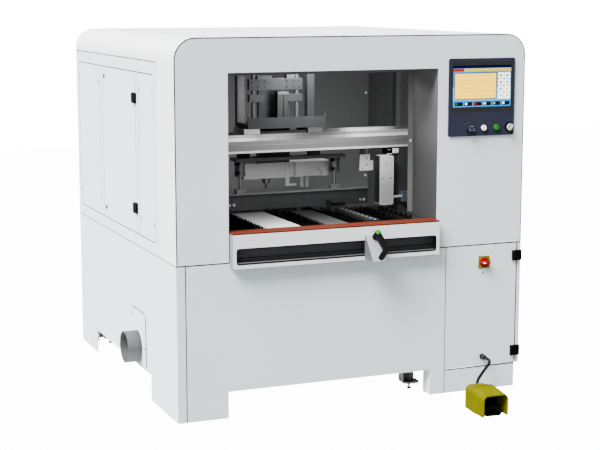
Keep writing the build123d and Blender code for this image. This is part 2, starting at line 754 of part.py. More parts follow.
def switchgear():
    """Mounting plate on the cabinet's back wall with two device rails and a wiring duct between."""
    back = cabinet_y1 - SHEET
    front = back - MOUNT_PLATE_T
    x0, x1 = cabinet_x0 + MOUNT_PLATE_MARGIN, BODY_W - MOUNT_PLATE_MARGIN
    z0, z1 = PLINTH_H + MOUNT_PLATE_MARGIN, BASE_H - MOUNT_PLATE_MARGIN
    pieces = [block(x0, x1, front, back, z0, z1)]
    lower_z, upper_z = z0 + LOWER_DEVICE_RISE, z1 - UPPER_DEVICE_DROP
    rows = (
        (lower_z, LOWER_DEVICES, LOWER_DEVICE_H, LOWER_DEVICE_D),
        (upper_z, UPPER_DEVICES, UPPER_DEVICE_H, UPPER_DEVICE_D),
    )
    rail_x = (x0 + DEVICE_RAIL_END, x1 - DEVICE_RAIL_END)
    rail_y0 = front - DEVICE_RAIL_T
    for row_z, count, device_h, device_d in rows:
        half = DEVICE_RAIL_H / 2
        pieces.append(block(*rail_x, rail_y0, front, row_z - half, row_z + half))
        pitch = (x1 - x0 - 2 * DEVICE_END) / count
        for i in range(count):
            left = x0 + DEVICE_END + i * pitch
            device_z = (row_z - device_h / 2, row_z + device_h / 2)
            pieces.append(block(left, left + pitch - DEVICE_GAP, rail_y0 - device_d, rail_y0, *device_z))
    duct_z = (lower_z + LOWER_DEVICE_H / 2 + DUCT_GAP, upper_z - UPPER_DEVICE_H / 2 - DUCT_GAP)
    pieces.append(block(*rail_x, front - DUCT_D, front, *duct_z))
    return group(pieces)


def hinge_leaf(side, knuckles, gaps):
    """Leaf on one side of a pin along z, the panel's face at y = hinge_off, with its knuckles at the pin."""
    x0, x1 = sorted((side * HINGE_SPLIT, side * HINGE_LEAF))
    web_x = sorted((0.0, side * hinge_off))
    leaf = block(x0, x1, hinge_off - HINGE_LEAF_T, hinge_off, -HINGE_H / 2, HINGE_H / 2)
    for z0, z1 in gaps:
        leaf -= rod_z(hinge_off, z0, z1, 0, 0)
    for z0, z1 in knuckles:
        leaf += rod_z(HINGE_R, z0, z1, 0, 0) + block(*web_x, 0, HINGE_R, z0, z1)
    return leaf


def fixed_leaf():
    """Leaf with two outer knuckles and the pin."""
    half, inner = HINGE_H / 2, HINGE_H / 6 + HINGE_SPLIT
    leaf = hinge_leaf(1, ((-half, -inner), (inner, half)), ((-inner, inner),))
    return leaf + rod_z(HINGE_PIN_R, -half, half, 0, 0)


def moving_leaf():
    """Leaf with one knuckle between the fixed ones, bored for the pin."""
    half, third = HINGE_H / 2, HINGE_H / 6
    leaf = hinge_leaf(-1, ((-third, third),), ((-half, -third), (third, half)))
    return leaf - rod_z(HINGE_PIN_R + BORE_FIT, -third, third, 0, 0)


def side_hinges(leaf):
    heights = (window_z0 + SIDE_HINGE_INSET, window_z1 - SIDE_HINGE_INSET)
    return [Pos(-hinge_off, side_hinge_y, z) * Rot(0, 0, -90) * leaf for z in heights]


def cabinet_hinges(leaf):
    heights = (PLINTH_H + CABINET_HINGE_INSET, BASE_H - CABINET_HINGE_INSET)
    return [Pos(cabinet_hinge_x, -hinge_off, z) * leaf for z in heights]


def hinge_fixed_leaves():
    leaf = fixed_leaf()
    return group(side_hinges(leaf) + cabinet_hinges(leaf))


def side_door_leaves():
    return group(side_hinges(moving_leaf()))


def cabinet_door_leaves():
    return group(cabinet_hinges(moving_leaf()))


def cabinet_door():
    x0, x1 = cabinet_x0 + DOOR_GAP, plinth_x1 - PANEL_GAP / 2
    z0, z1 = PLINTH_H + DOOR_GAP, BASE_H - DOOR_GAP
    tray = block(x0, x1, 0, door_y1, z0, z1)
    tray -= block(x0 + SHEET, x1 - SHEET, SHEET, door_y1, z0 + SHEET, z1 - SHEET)
    return tray - rod_y(SWITCH_SHAFT_R + FIT, 0, SHEET, switch_x, switch_z)


def switch_plate():
    outline = Pos(switch_x, switch_z) * RectangleRounded(SWITCH_SIDE, SWITCH_SIDE, SWITCH_CORNER)
    return prism_y(outline - Pos(switch_x, switch_z) * Circle(SWITCH_SHAFT_R + FIT), -SWITCH_T, 0)


def switch_handle():
    dial_y1 = -SWITCH_T - FIT
    dial_y0 = dial_y1 - SWITCH_DIAL_T
    dial = rod_y(SWITCH_DIAL_R, dial_y0, dial_y1, switch_x, switch_z)
    outline = Pos(switch_x, switch_z) * SlotOverall(SWITCH_GRIP_L, SWITCH_GRIP_W)
    grip = prism_y(outline, dial_y0 - SWITCH_GRIP_H, dial_y0)
    return dial + grip + rod_y(SWITCH_SHAFT_R, dial_y1, SWITCH_SHAFT_IN, switch_x, switch_z)


def cable_gland():
    x, y, z = cable_points[0]
    nut = prism_y(Pos(x, z) * RegularPolygon(GLAND_NUT_R, 6), -GLAND_NUT_H, 0)
    return nut + rod_y(GLAND_DOME_R, y, -GLAND_NUT_H, x, z)


def left_side_frame():
    skin = block(0, SHEET, HOOD_D, BODY_D, upper_z0, side_top)
    ledge = block(SHEET, 2 * SHEET, HOOD_D, BODY_D - SHEET - FIT, upper_z0, side_top)
    for y0, y1 in (front_window, door_window, rear_window):
        skin -= block(0, SHEET, y0, y1, window_z0, window_z1)
        ledge -= block(SHEET, 2 * SHEET, y0 + LEDGE, y1 - LEDGE, window_z0 + LEDGE, window_z1 - LEDGE)
    return skin + ledge


def window_panel(window):
    y0, y1 = window[0] + PANEL_GAP, window[1] - PANEL_GAP
    return block(0, SHEET, y0, y1, window_z0 + PANEL_GAP, window_z1 - PANEL_GAP)


def fixed_side_panels():
    return group([window_panel(front_window), window_panel(rear_window)])


def side_door():
    """Sheet panel stiffened by a folded frame that enters the window."""
    y0, y1 = door_window[0] + 2 * LEDGE, door_window[1] - 2 * LEDGE
    z0, z1 = window_z0 + 2 * LEDGE, window_z1 - 2 * LEDGE
    fold = block(SHEET, SHEET + DOOR_FOLD, y0, y1, z0, z1)
    fold -= block(SHEET, SHEET + DOOR_FOLD, y0 + SHEET, y1 - SHEET, z0 + SHEET, z1 - SHEET)
    return window_panel(door_window) + fold


def right_side_panel():
    """Plain sheet with folded ribs on its inner face."""
    panel = block(BODY_W - SHEET, BODY_W, HOOD_D, BODY_D, upper_z0, side_top)
    x0, x1 = BODY_W - SHEET - RIB_D, BODY_W - SHEET
    for y in RIB_Y:
        rib = block(x0, x1, y, y + RIB_W, upper_z0 + RIB_INSET, side_top - RIB_INSET)
        room = block(x0 + SHEET, x1, y + SHEET, y + RIB_W - SHEET, upper_z0 + RIB_INSET, side_top - RIB_INSET)
        panel += rib - room
    return panel


def roof_skin():
    return arch(0, HOOD_D, BODY_D, roof_z) - arch(SHEET, HOOD_D, BODY_D, roof_z)


def hood_shell():
    skin = arch(0, 0, HOOD_D, upper_z0) - arch(SHEET, 0, HOOD_D, upper_z0)
    flange = arch(SHEET, SHEET, 2 * SHEET, upper_z0) - arch(SHEET + HOOD_FLANGE, SHEET, 2 * SHEET, upper_z0)
    return skin + flange


def front_panel():
    panel = arch(SHEET + PANEL_GAP, 0, SHEET, upper_z0)
    opening = block(OPENING_X0, opening_x1, 0, SHEET, upper_z0, opening_top)
    console = block(console_x0 + CONSOLE_RIM, console_x1 - CONSOLE_RIM, 0, SHEET,
                    console_z0 + CONSOLE_RIM, console_z1 - CONSOLE_RIM)
    return panel - opening - console


def opening_reveal():
    y0, y1 = SHEET, SHEET + REVEAL_D
    tunnel = block(OPENING_X0 - SHEET, opening_x1 + SHEET, y0, y1, BASE_H, opening_top + SHEET)
    tunnel -= block(OPENING_X0, opening_x1, y0, y1, BASE_H, opening_top)
    flange_z0 = table_z + SHEET
    flange = block(OPENING_X0, opening_x1, y1 - SHEET, y1, flange_z0, opening_top)
    flange -= block(OPENING_X0 + REVEAL_FLANGE, opening_x1 - REVEAL_FLANGE, y1 - SHEET, y1,
                    flange_z0, opening_top - REVEAL_FLANGE)
    return tunnel + flange


def rear_panel():
    return arch(SHEET + FIT, BODY_D - SHEET, BODY_D, upper_z0)


def console_buttons():
    """Distance across the console, bezel radius and hole radius of each control."""
    return ((ESTOP_X, BEZEL_WIDE_R), (WHITE_X, BEZEL_R), (GREEN_X, BEZEL_R), (SELECTOR_X, BEZEL_WIDE_R))


def console_panel():
    centre = Pos((console_x0 + console_x1) / 2, (console_z0 + console_z1) / 2)
    plate = prism_y(centre * RectangleRounded(CONSOLE_W, CONSOLE_H, CONSOLE_CORNER), -CONSOLE_T, 0)
    x0 = (console_x0 + console_x1 - SCREEN_W) / 2
    z1 = console_z1 - SCREEN_TOP
    plate -= block(x0, x0 + SCREEN_W, -CONSOLE_T, SCREEN_POCKET - CONSOLE_T, z1 - SCREEN_H, z1)
    for x, bezel_r in console_buttons():
        plate -= rod_y(BUTTON_R + FIT, -CONSOLE_T, 0, console_x0 + x, button_z)
    return plate


def touch_screen():
    x0 = (console_x0 + console_x1 - SCREEN_W) / 2 + FIT
    z1 = console_z1 - SCREEN_TOP - FIT
    y1 = SCREEN_POCKET - CONSOLE_T
    return block(x0, x0 + SCREEN_W - 2 * FIT, y1 - SCREEN_T, y1, z1 - SCREEN_H + 2 * FIT, z1)


def button_bezels():
    rings = []
    for x, bezel_r in console_buttons():
        ring = rod_y(bezel_r, -CONSOLE_T - BEZEL_T, -CONSOLE_T, console_x0 + x, button_z)
        hole = rod_y(BUTTON_R + FIT, -CONSOLE_T - BEZEL_T, -CONSOLE_T, console_x0 + x, button_z)
        rings.append(ring - hole)
    return group(rings)


def push_button(x):
    cap = rod_y(BUTTON_R, -CONSOLE_T - BUTTON_OUT, -BUTTON_IN, console_x0 + x, button_z)
    rim = cap.edges().group_by(Axis.Y)[0]
    return fillet(rim, BUTTON_EDGE)


def white_button():
    return push_button(WHITE_X)


def green_button():
    return push_button(GREEN_X)


def estop_button():
    x = console_x0 + ESTOP_X
    head_y1 = -CONSOLE_T - BEZEL_T - ESTOP_LIFT
    head = rod_y(ESTOP_R, head_y1 - ESTOP_H, head_y1, x, button_z)
    head = fillet(head.edges().group_by(Axis.Y)[0], ESTOP_H / 2)
    return head + rod_y(BUTTON_R, head_y1, -BUTTON_IN, x, button_z)


def selector_knob():
    x = console_x0 + SELECTOR_X
    knob_y1 = -CONSOLE_T - BEZEL_T - FIT
    knob_y0 = knob_y1 - KNOB_H
    knob = rod_y(KNOB_R, knob_y0, knob_y1, x, button_z)
    grip = Pos(x, button_z) * SlotOverall(2 * (KNOB_R - KNOB_EDGE), KNOB_GRIP_W, rotation=45)
    knob += prism_y(grip, knob_y0 - KNOB_GRIP_H, knob_y0)
    return knob + rod_y(BUTTON_R, knob_y1, -BUTTON_IN, x, button_z)


def front_bar():
    """Folded box with a long slot in its face and a guide rail behind the slot."""
    face = block(bar_x0, bar_x1, -BAR_OUT, SHEET - BAR_OUT, bar_z0, bar_z1)
    slot_w = bar_x1 - bar_x0 - 2 * SLOT_END
    slot = Pos((bar_x0 + bar_x1) / 2, slot_z0 + SLOT_H / 2) * RectangleRounded(slot_w, SLOT_H, SLOT_CORNER)
    face -= prism_y(slot, -BAR_OUT, SHEET - BAR_OUT)
    top = block(bar_x0, bar_x1, -BAR_OUT, BAR_IN, bar_z1 - SHEET, bar_z1)
    floor = block(bar_x0, bar_x1, -BAR_OUT, 0, bar_z0, bar_z0 + SHEET)
    rail = block(bar_x0, bar_x1, guide_y0, guide_y0 + GUIDE_D, guide_z0, guide_z0 + GUIDE_H)
    ends = []
    for x0 in (bar_x0, bar_x1 - SHEET):
        ends.append(block(x0, x0 + SHEET, -BAR_OUT, 0, bar_z0, bar_z1))
        ends.append(block(x0, x0 + SHEET, 0, BAR_IN, BASE_H, bar_z1))
    return face + [top, floor, rail] + ends


def slide_strip():
    strip = block(bar_x0, bar_x1, -BAR_OUT, BAR_IN, bar_z1, table_z)
    return fillet(strip.edges().filter_by(Axis.X).group_by(Axis.Y)[0].sort_by(Axis.Z)[-1], STRIP_T / 3)


def on_clamp(form):
    """Stands a form that is drawn along the Y axis on the clamp's sloping face."""
    return Pos(lever_x, lever_seat_y, lever_z) * Rot(-lever_tilt, 0, 0) * form


def clamp_bracket():
    """Folded wedge in front of the bar, with a neck through the slot that hooks over the guide rail."""
    top_y, foot_y = clamp_back - CLAMP_TOP_D, clamp_back - CLAMP_FOOT_D
    x0, x1 = clamp_x - CLAMP_W / 2, clamp_x + CLAMP_W / 2
    outline = Polygon((clamp_back, clamp_z1), (top_y, clamp_z1),
                      (foot_y, clamp_z0), (clamp_back, clamp_z0), align=None)
    wedge = prism_x(outline, x0, x1)
    inner_y = clamp_back - CLAMP_SHEET
    inner_top = clamp_z1 - CLAMP_SHEET
    hollow = Polygon((inner_y, inner_top), (top_y + 1.5 * CLAMP_SHEET, inner_top),
                     (foot_y + 1.5 * CLAMP_SHEET, clamp_z0), (inner_y, clamp_z0), align=None)
    wedge -= prism_x(hollow, x0 + CLAMP_SHEET, x1 - CLAMP_SHEET)
    neck_x = (clamp_x - CLAMP_NECK_W / 2, clamp_x + CLAMP_NECK_W / 2)
    neck_z = slot_z0 + (SLOT_H - CLAMP_NECK_H) / 2
    neck_y1 = guide_y0 - FIT
    hook_z = guide_z0 + GUIDE_H + FIT
    neck = block(*neck_x, clamp_back, neck_y1, neck_z, neck_z + CLAMP_NECK_H)
    hook = block(*neck_x, neck_y1, guide_y0 + GUIDE_D, hook_z, hook_z + CLAMP_HOOK_H)
    boss = on_clamp(rod_y(LEVER_BOSS_R, -LEVER_BOSS_L, CLAMP_SHEET, 0, 0))
    return wedge + [neck, hook, boss]


def clamp_lever():
    """Round hub square to the sloping face, with a cranked arm along its outer end."""
    hub_y1 = -LEVER_BOSS_L - FIT
    hub_y0 = hub_y1 - LEVER_HUB_L
    hub = rod_y(LEVER_HUB_R, hub_y0, hub_y1, 0, 0)
    arm = bar_2d((0, 0), LEVER_ARM_R, LEVER_ELBOW, LEVER_ARM_R)
    grip = bar_2d(LEVER_ELBOW, LEVER_ARM_R, LEVER_TIP, LEVER_TIP_R)
    return on_clamp(hub + [prism_y(form, hub_y0, hub_y0 + LEVER_T) for form in (arm, grip)])


def table_deck():
    plate = block(deck_x0, deck_x1, deck_y0, deck_y1, deck_z0, deck_z1)
    ribs = []
    for y0 in (deck_y0, gantry_rail_y + (TUBE - DECK_RIB_T) / 2):
        ribs.append(block(deck_x0, deck_x1, y0, y0 + DECK_RIB_T, BASE_H, deck_z0))
    return plate + ribs


def brush_strip(span):
    """Backing slat with rows of tapering tufts."""
    x0, x1 = span
    y0, y1 = brush_y0, brush_y1
    back_z1 = deck_z1 + BRUSH_BACK_T
    columns, rows = int((x1 - x0) / TUFT_PITCH), int(BRUSH_L / TUFT_PITCH)
    places = GridLocations(TUFT_PITCH, TUFT_PITCH, columns, rows)
    tuft = extrude(Rectangle(TUFT_SIDE, TUFT_SIDE), table_z - back_z1, taper=TUFT_TAPER)
    centre = Pos((x0 + x1) / 2, (y0 + y1) / 2, back_z1)
    tufts = [centre * place * tuft for place in places]
    return block(x0, x1, y0, y1, deck_z1, back_z1) + tufts


def table_brushes():
    return group([brush_strip(span) for span in brush_spans])


def slat(x0, x1, y0, y1):
    """Folded cover strip, open below."""
    cover = block(x0, x1, y0, y1, deck_z1, slat_z1)
    return cover - block(x0 + SLAT_WALL, x1 - SLAT_WALL, y0, y1, deck_z1, slat_z1 - SLAT_WALL)


def table_slats():
    left = (brush_spans[0][1] + SLAT_GAP, brush_spans[1][0] - SLAT_GAP)
    middle = (brush_spans[1][1] + SLAT_GAP, brush_spans[2][0] - SLAT_GAP)
    pieces = [slat(*left, brush_y0 + y0, brush_y0 + y1) for y0, y1 in SLAT_BREAKS]
    pieces.append(slat(*middle, brush_y0, brush_y1))
    pieces.append(slat(edge_slat_x0, deck_x1 - EDGE_SLAT_SIDE, brush_y0, brush_y1))
    return group(pieces)


def guide_studs():
    x = edge_slat_x0 + STUD_INSET
    y0 = brush_y0 + STUD_MARGIN
    studs = []
    for i in range(STUD_COUNT):
        stud = rod_z(STUD_R, slat_z1, slat_z1 + STUD_H, x, y0 + i * STUD_PITCH)
        studs.append(fillet(stud.edges().group_by(Axis.Z)[-1], STUD_R / 3))
    return group(studs)


def gripper_rail():
    """Rail with a narrow neck under a wide head, for the panel gripper to run on."""
    x = gripper_x
    y0, y1 = brush_y0, brush_y1
    top = deck_z1 + GRIPPER_RAIL_H
    half, neck = GRIPPER_RAIL_W / 2, GRIPPER_NECK_W / 2
    foot = block(x - half, x + half, y0, y1, deck_z1, top - 2 * GRIPPER_HEAD_H)
    web = block(x - neck, x + neck, y0, y1, top - 2 * GRIPPER_HEAD_H, top - GRIPPER_HEAD_H)
    head = block(x - half, x + half, y0, y1, top - GRIPPER_HEAD_H, top)
    return foot + [web, head]


def panel_gripper():
    """Block that wraps the rail's head, with an open jaw facing the front."""
    x = gripper_x
    y0, y1 = gripper_y0, gripper_y0 + GRIPPER_L
    top = deck_z1 + GRIPPER_RAIL_H
    half = GRIPPER_RAIL_W / 2 + FIT
    neck = GRIPPER_NECK_W / 2 + FIT
    z0 = top - 1.6 * GRIPPER_HEAD_H
    body = block(x - GRIPPER_W / 2, x + GRIPPER_W / 2, y0, y1, z0, top + GRIPPER_H)
    body -= block(x - half, x + half, y0, y1, top - GRIPPER_HEAD_H - FIT, top + FIT)
    body -= block(x - neck, x + neck, y0, y1, z0, top)
    jaw_z = top + GRIPPER_JAW_T
    jaw = block(x - GRIPPER_W / 2, x + GRIPPER_W / 2, y0, y0 + GRIPPER_L / 2, jaw_z, jaw_z + GRIPPER_H / 2)
    return body - jaw


def gantry_uprights():
    columns = []
    for x0, width in ((BEAM_X0, UPRIGHT_LEFT_W), (upright_right_x0, UPRIGHT_RIGHT_W)):
        wall = UPRIGHT_WALL
        column = block(x0, x0 + width, BEAM_Y0, beam_y1, BASE_H, beam_z0)
        column -= block(x0 + wall, x0 + width - wall, BEAM_Y0 + wall, beam_y1 - wall, BASE_H, beam_z0)
        columns.append(column)
    return group(columns)


def gantry_beam():
    """Extruded profile with a sloped front edge, a lower lip and a slot along its face."""
    front, lip = BEAM_Y0, BEAM_Y0 - BEAM_LIP
    outline = Polygon((lip, beam_z0), (beam_y1, beam_z0), (beam_y1, beam_z1),
                      (front + BEAM_LIP, beam_z1), (front, beam_z1 - BEAM_CHAMFER),
                      (front, beam_z0 + BEAM_LIP_H), (lip, beam_z0 + BEAM_LIP_H), align=None)
    groove_z = beam_z0 + BEAM_LIP_H + (BEAM_H - BEAM_LIP_H - BEAM_CHAMFER) / 2
    outline -= Pos(front + BEAM_GROOVE / 2, groove_z) * Rectangle(BEAM_GROOVE, BEAM_GROOVE)
    return prism_x(outline, BEAM_X0, beam_x1)


def gantry_rails():
    x0, x1 = BEAM_X0 + RAIL_END, beam_x1 - RAIL_END
    top = block(x0, x1, top_rail_y - RAIL_W / 2, top_rail_y + RAIL_W / 2, beam_z1, beam_z1 + RAIL_H)
    rear = block(x0, x1, beam_y1, beam_y1 + RAIL_H, rear_rail_z - RAIL_W / 2, rear_rail_z + RAIL_W / 2)
    return group([top, rear])


def presser_carrier():
    """Shelf for the two cylinders hung from the beam, with a sensor block and a bracket plate beside it."""
    x0 = cylinder_x[0] - CYLINDER_R - CARRIER_OVERHANG
    x1 = cylinder_x[1] + CYLINDER_R + CARRIER_OVERHANG
    shelf = block(x0, x1, carrier_y0, carrier_y1, carrier_z0, carrier_z1)
    hanger_y = (carrier_y0, carrier_y0 + HANGER_D)
    hanger_x = [x - offset for x, offset in zip(cylinder_x, HANGER_OFFSETS)]
    hangers = [block(x, x + HANGER_W, *hanger_y, carrier_z1, beam_z0) for x in hanger_x]
    sensor = block(sensor_x0, sensor_x0 + SENSOR_W, sensor_y0, sensor_y0 + SENSOR_D, carrier_z1, beam_z0)
    x0, x1 = bracket_plate_x0, bracket_plate_x0 + BRACKET_PLATE_W
    y0, y1 = carrier_y0, carrier_y0 + BRACKET_PLATE_T
    z1 = beam_z0 - BRACKET_PLATE_DROP
    z0 = z1 - BRACKET_PLATE_H
    plate = block(x0, x1, y0, y1, z0, z1)
    plate -= block(x1 - BRACKET_NOTCH_W, x1, y0, y1, z1 - BRACKET_NOTCH_H, z1)
    plate += block(x0, x0 + BRACKET_STRAP_W, y1, y1 + BRACKET_PLATE_T, z0, beam_z0)
    return group([shelf + hangers, sensor, plate])


def presser_cylinders():
    cylinders = []
    for x in cylinder_x:
        body = rod_z(CYLINDER_R, cylinder_z0, carrier_z0, x, cylinder_y)
        for z0 in (cylinder_z0, carrier_z0 - CYLINDER_CAP_H):
            body += rod_z(CYLINDER_CAP_R, z0, z0 + CYLINDER_CAP_H, x, cylinder_y)
        bore = rod_z(PRESSER_ROD_R + BORE_FIT, cylinder_z0, carrier_z0 - SHEET, x, cylinder_y)
        cylinders.append(body - bore)
    return group(cylinders)


def presser_bar():
    """Bar across the table with a bright lip on top, hung on the two cylinder rods."""
    x0, x1 = presser_x0, presser_x1
    y1 = presser_y0 + PRESSER_T
    bar = block(x0, x1, presser_y0, y1, presser_z0, presser_z1)
    lip = block(x0, x1, presser_y0 - PRESSER_LIP, y1, presser_z1 - PRESSER_LIP_T, presser_z1)
    rod_z1 = cylinder_z0 + PRESSER_ROD_IN
    rods = [rod_z(PRESSER_ROD_R, presser_z1, rod_z1, x, cylinder_y) for x in cylinder_x]
    foot_y = (cylinder_y - PRESSER_FOOT_D / 2, cylinder_y + PRESSER_FOOT_D / 2)
    foot_z = (presser_z1, presser_z1 + PRESSER_FOOT_H)
    half = PRESSER_FOOT_W / 2
    feet = [block(x - half, x + half, *foot_y, *foot_z) for x in cylinder_x]
    return bar + [lip] + rods + feet


def head_carriage():
    """Plate on four rail blocks, with two columns, two guide rods and a bridge on top."""
    plate = block(head_x0, head_x1, head_plate_y0, head_plate_y1, head_z0, head_z1)
    gap = SLIDE_W / 2 + BLOCK_GAP
    plate -= block(head_x - gap, head_x + gap, slide_y0 - BLOCK_GAP, head_plate_y1, head_z0, head_z1)
    flange_y = (head_plate_y0, head_plate_y0 + HEAD_FLANGE_T)
    pieces = [block(head_x0, head_x1, *flange_y, head_z0, head_z0 + HEAD_FLANGE_H)]
    ear_z = (head_z0 + HEAD_FLANGE_H, head_z0 + HEAD_FLANGE_H + HEAD_EAR_H)
    for x0 in (head_x0, head_x1 - HEAD_EAR_W):
        pieces.append(block(x0, x0 + HEAD_EAR_W, *flange_y, *ear_z))
    groove = RAIL_W / 2 + FIT
    rail_z = (rear_rail_z - groove, rear_rail_z + groove)
    for x0 in (head_x0 - BLOCK_OVERHANG, head_x1 - BLOCK_INSET - BLOCK_L):
        top = block(x0, x0 + BLOCK_L, top_rail_y - BLOCK_W / 2, top_rail_y + BLOCK_W / 2, block_z0, head_z0)
        top -= block(x0, x0 + BLOCK_L, top_rail_y - groove, top_rail_y + groove,
                     block_z0, beam_z1 + RAIL_H + FIT)
        rear_y0 = beam_y1 + BLOCK_GAP
        rear = block(x0, x0 + BLOCK_L, rear_y0, rear_y0 + BLOCK_H, rear_rail_z - BLOCK_W / 2, head_z0)
        rear -= block(x0, x0 + BLOCK_L, rear_y0, beam_y1 + RAIL_H + FIT, *rail_z)
        pieces += [top, rear]
    for x0 in (head_x0, head_x1 - COLUMN_W):
        pieces.append(block(x0, x0 + COLUMN_W, column_y0, head_plate_y1, head_z1, head_top_z))
    for side in (-1, 1):
        pieces.append(rod_z(GUIDE_ROD_R, head_z1, head_top_z, head_x + side * GUIDE_ROD_X, guide_rod_y))
    pieces.append(block(head_x0, head_x1, column_y0, head_plate_y1, head_top_z, head_top_z + HEAD_TOP_T))
    return plate + pieces + lift_cylinder()


def lift_cylinder():
    """Grooved body between two end caps, standing on the head plate in front of the crossheads."""
    x0, x1 = head_x + LIFT_X, head_x + LIFT_X + LIFT_W
    y0 = head_plate_y0 + LIFT_SETBACK
    z0, z1 = head_z1, head_z1 + LIFT_TOP
    body = block(x0, x1, y0, y0 + LIFT_D, z0, z1)
    groove_x = x0 + LIFT_W / 2 - LIFT_GROOVE_W / 2
    body -= block(groove_x, groove_x + LIFT_GROOVE_W, y0, y0 + LIFT_GROOVE_D, z0, z1)
    cap_y0 = y0 + LIFT_D - LIFT_CAP_D
    return [body] + [block(x0, x1, cap_y0, y0 + LIFT_D, z, z + LIFT_CAP_H) for z in (z0, z1 - LIFT_CAP_H)]


def tool_slide():
    """Plate on a crosshead and two bosses that run on the guide rods, with the tool block behind it."""
    top_z = crosshead_z[1] + CROSSHEAD_H[1]
    slide_x = (head_x - SLIDE_W / 2, head_x + SLIDE_W / 2)
    plate = block(*slide_x, slide_y0, slide_y0 + SLIDE_T, tool_block_z0, top_z)
    lug_y = (guide_rod_y - CROSSHEAD_D / 2, guide_rod_y + CROSSHEAD_D / 2)
    pieces = []
    for (x0, x1), height in zip(LUG_SPANS, LUG_H):
        pieces.append(block(head_x + x0, head_x + x1, *lug_y, top_z, top_z + height))
    x0, x1 = head_x - CROSSHEAD_W / 2, head_x + CROSSHEAD_W / 2
    boss_z, upper_z = [(z0, z0 + height) for z0, height in zip(crosshead_z, CROSSHEAD_H)]
    guides = block(x0, x1, *lug_y, *upper_z)
    guides += block(x0, x0 + CROSSHEAD_BOSS_W, *lug_y, *boss_z)
    guides += block(x1 - CROSSHEAD_BOSS_W, x1, *lug_y, *boss_z)
    for side in (-1, 1):
        guides -= rod_z(GUIDE_ROD_R + BORE_FIT, boss_z[0], top_z, head_x + side * GUIDE_ROD_X, guide_rod_y)
    plate += guides
    y0, y1 = slide_y0, slide_y0 + TOOL_BLOCK_D
    x0, x1 = tool_block_x0, tool_block_x0 + TOOL_BLOCK_W
    tool_block = block(x0, x1, y0, y1, tool_block_z0, tool_block_z1)
    groove_x0 = x0 + TOOL_BLOCK_GROOVE_X
    tool_block -= block(groove_x0, groove_x0 + TOOL_BLOCK_GROOVE_W, y0, y0 + TOOL_BLOCK_GROOVE_D,
                        tool_block_z0, tool_block_z1)
    arc_x = x0 + TOOL_BLOCK_ARC_X
    tool_block -= rod_y(TOOL_BLOCK_ARC_R, y0, y0 + TOOL_BLOCK_GROOVE_D, arc_x, tool_block_z0)
    bore_z1 = tool_block_z0 + SHAFT_IN + FIT
    tool_block -= rod_z(SHAFT_R + BORE_FIT, tool_block_z0, bore_z1, spindle_x, spindle_y)
    nozzle_x0 = groove_x0 - NOZZLE_W - SHEET
    nozzle_z0 = tool_block_z0 - NOZZLE_DROP
    nozzle_x1 = nozzle_x0 + NOZZLE_W
    nozzle_y0 = y0 - NOZZLE_T
    nozzle = block(nozzle_x0, nozzle_x1, nozzle_y0, y0, nozzle_z0, tool_block_z1)
    hook = block(nozzle_x0, nozzle_x1 + NOZZLE_HOOK, nozzle_y0, y0, nozzle_z0, nozzle_z0 + NOZZLE_HOOK_H)
    stop_z0 = tool_block_z0 - STOP_ROD_DROP
    stop_y = y0 + TOOL_BLOCK_D / 2
    stops = [rod_z(STOP_ROD_R, stop_z0, tool_block_z1, x0 + x, stop_y) for x in STOP_ROD_X]
    return plate + pieces + [tool_block, nozzle, hook] + stops


def spindle_motor():
    """Finned motor standing on the tool block."""
    motor = rod_z(MOTOR_R, tool_block_z1, tool_block_z1 + MOTOR_H, spindle_x, spindle_y)
    for i in range(MOTOR_FIN_COUNT):
        z0 = tool_block_z1 + (i + 1) * MOTOR_FIN_PITCH
        groove = rod_z(MOTOR_R, z0, z0 + MOTOR_FIN_T, spindle_x, spindle_y)
        motor -= groove - rod_z(MOTOR_R - MOTOR_FIN_DEPTH, z0, z0 + MOTOR_FIN_T, spindle_x, spindle_y)
    cap_z0 = tool_block_z1 + MOTOR_H
    return motor + rod_z(MOTOR_CAP_R, cap_z0, cap_z0 + MOTOR_CAP_H, spindle_x, spindle_y)


def tool_spindle():
    """Shaft, nose, collet nut and router bit on one axis."""
    z0 = tool_block_z0
    spindle = rod_z(SHAFT_R, z0 - FIT, z0 + SHAFT_IN, spindle_x, spindle_y)
    z0 -= FIT
    for radius, length in ((NOSE_R, NOSE_H), (COLLET_R, COLLET_H), (TOOL_R, TOOL_L)):
        spindle += rod_z(radius, z0 - length, z0, spindle_x, spindle_y)
        z0 -= length
    return spindle


def pusher_cylinder():
    x1 = pusher_body_x0 + PUSHER_BODY_L
    half = PUSHER_BODY_SIDE / 2
    body = block(pusher_body_x0, x1, pusher_rod_y - half, pusher_rod_y + half,
                 pusher_rod_z - half, pusher_rod_z + half)
    bore_x1 = x1 - PUSHER_WALL
    return body - rod_x(PUSHER_ROD_R + BORE_FIT, pusher_body_x0, bore_x1, pusher_rod_y, pusher_rod_z)


def side_pusher():
    """Channel-shaped plate on the end of the cylinder rod."""
    centre = Pos(pusher_x0 + PUSHER_W / 2, pusher_z0 + PUSHER_H / 2)
    outline = centre * RectangleRounded(PUSHER_W, PUSHER_H, PUSHER_CORNER)
    plate = prism_y(outline, pusher_y0, pusher_y0 + PUSHER_D)
    wall = PUSHER_WALL
    plate -= block(pusher_x0 + wall, pusher_x1 - wall, pusher_y0 + wall, pusher_y0 + PUSHER_D,
                   pusher_z0 + wall, pusher_z0 + PUSHER_H - wall)
    rod_end = pusher_body_x0 + PUSHER_ROD_IN
    return plate + rod_x(PUSHER_ROD_R, pusher_x1 - wall, rod_end, pusher_rod_y, pusher_rod_z)


def guard_outline(width, height, radius):
    """Arch seen from the front, standing on the floor."""
    outline = Pos(pedal_x, 0) * Rectangle(width, height, align=(Align.CENTER, Align.MIN))
    return fillet(outline.vertices().group_by(Axis.Y)[-1], radius)


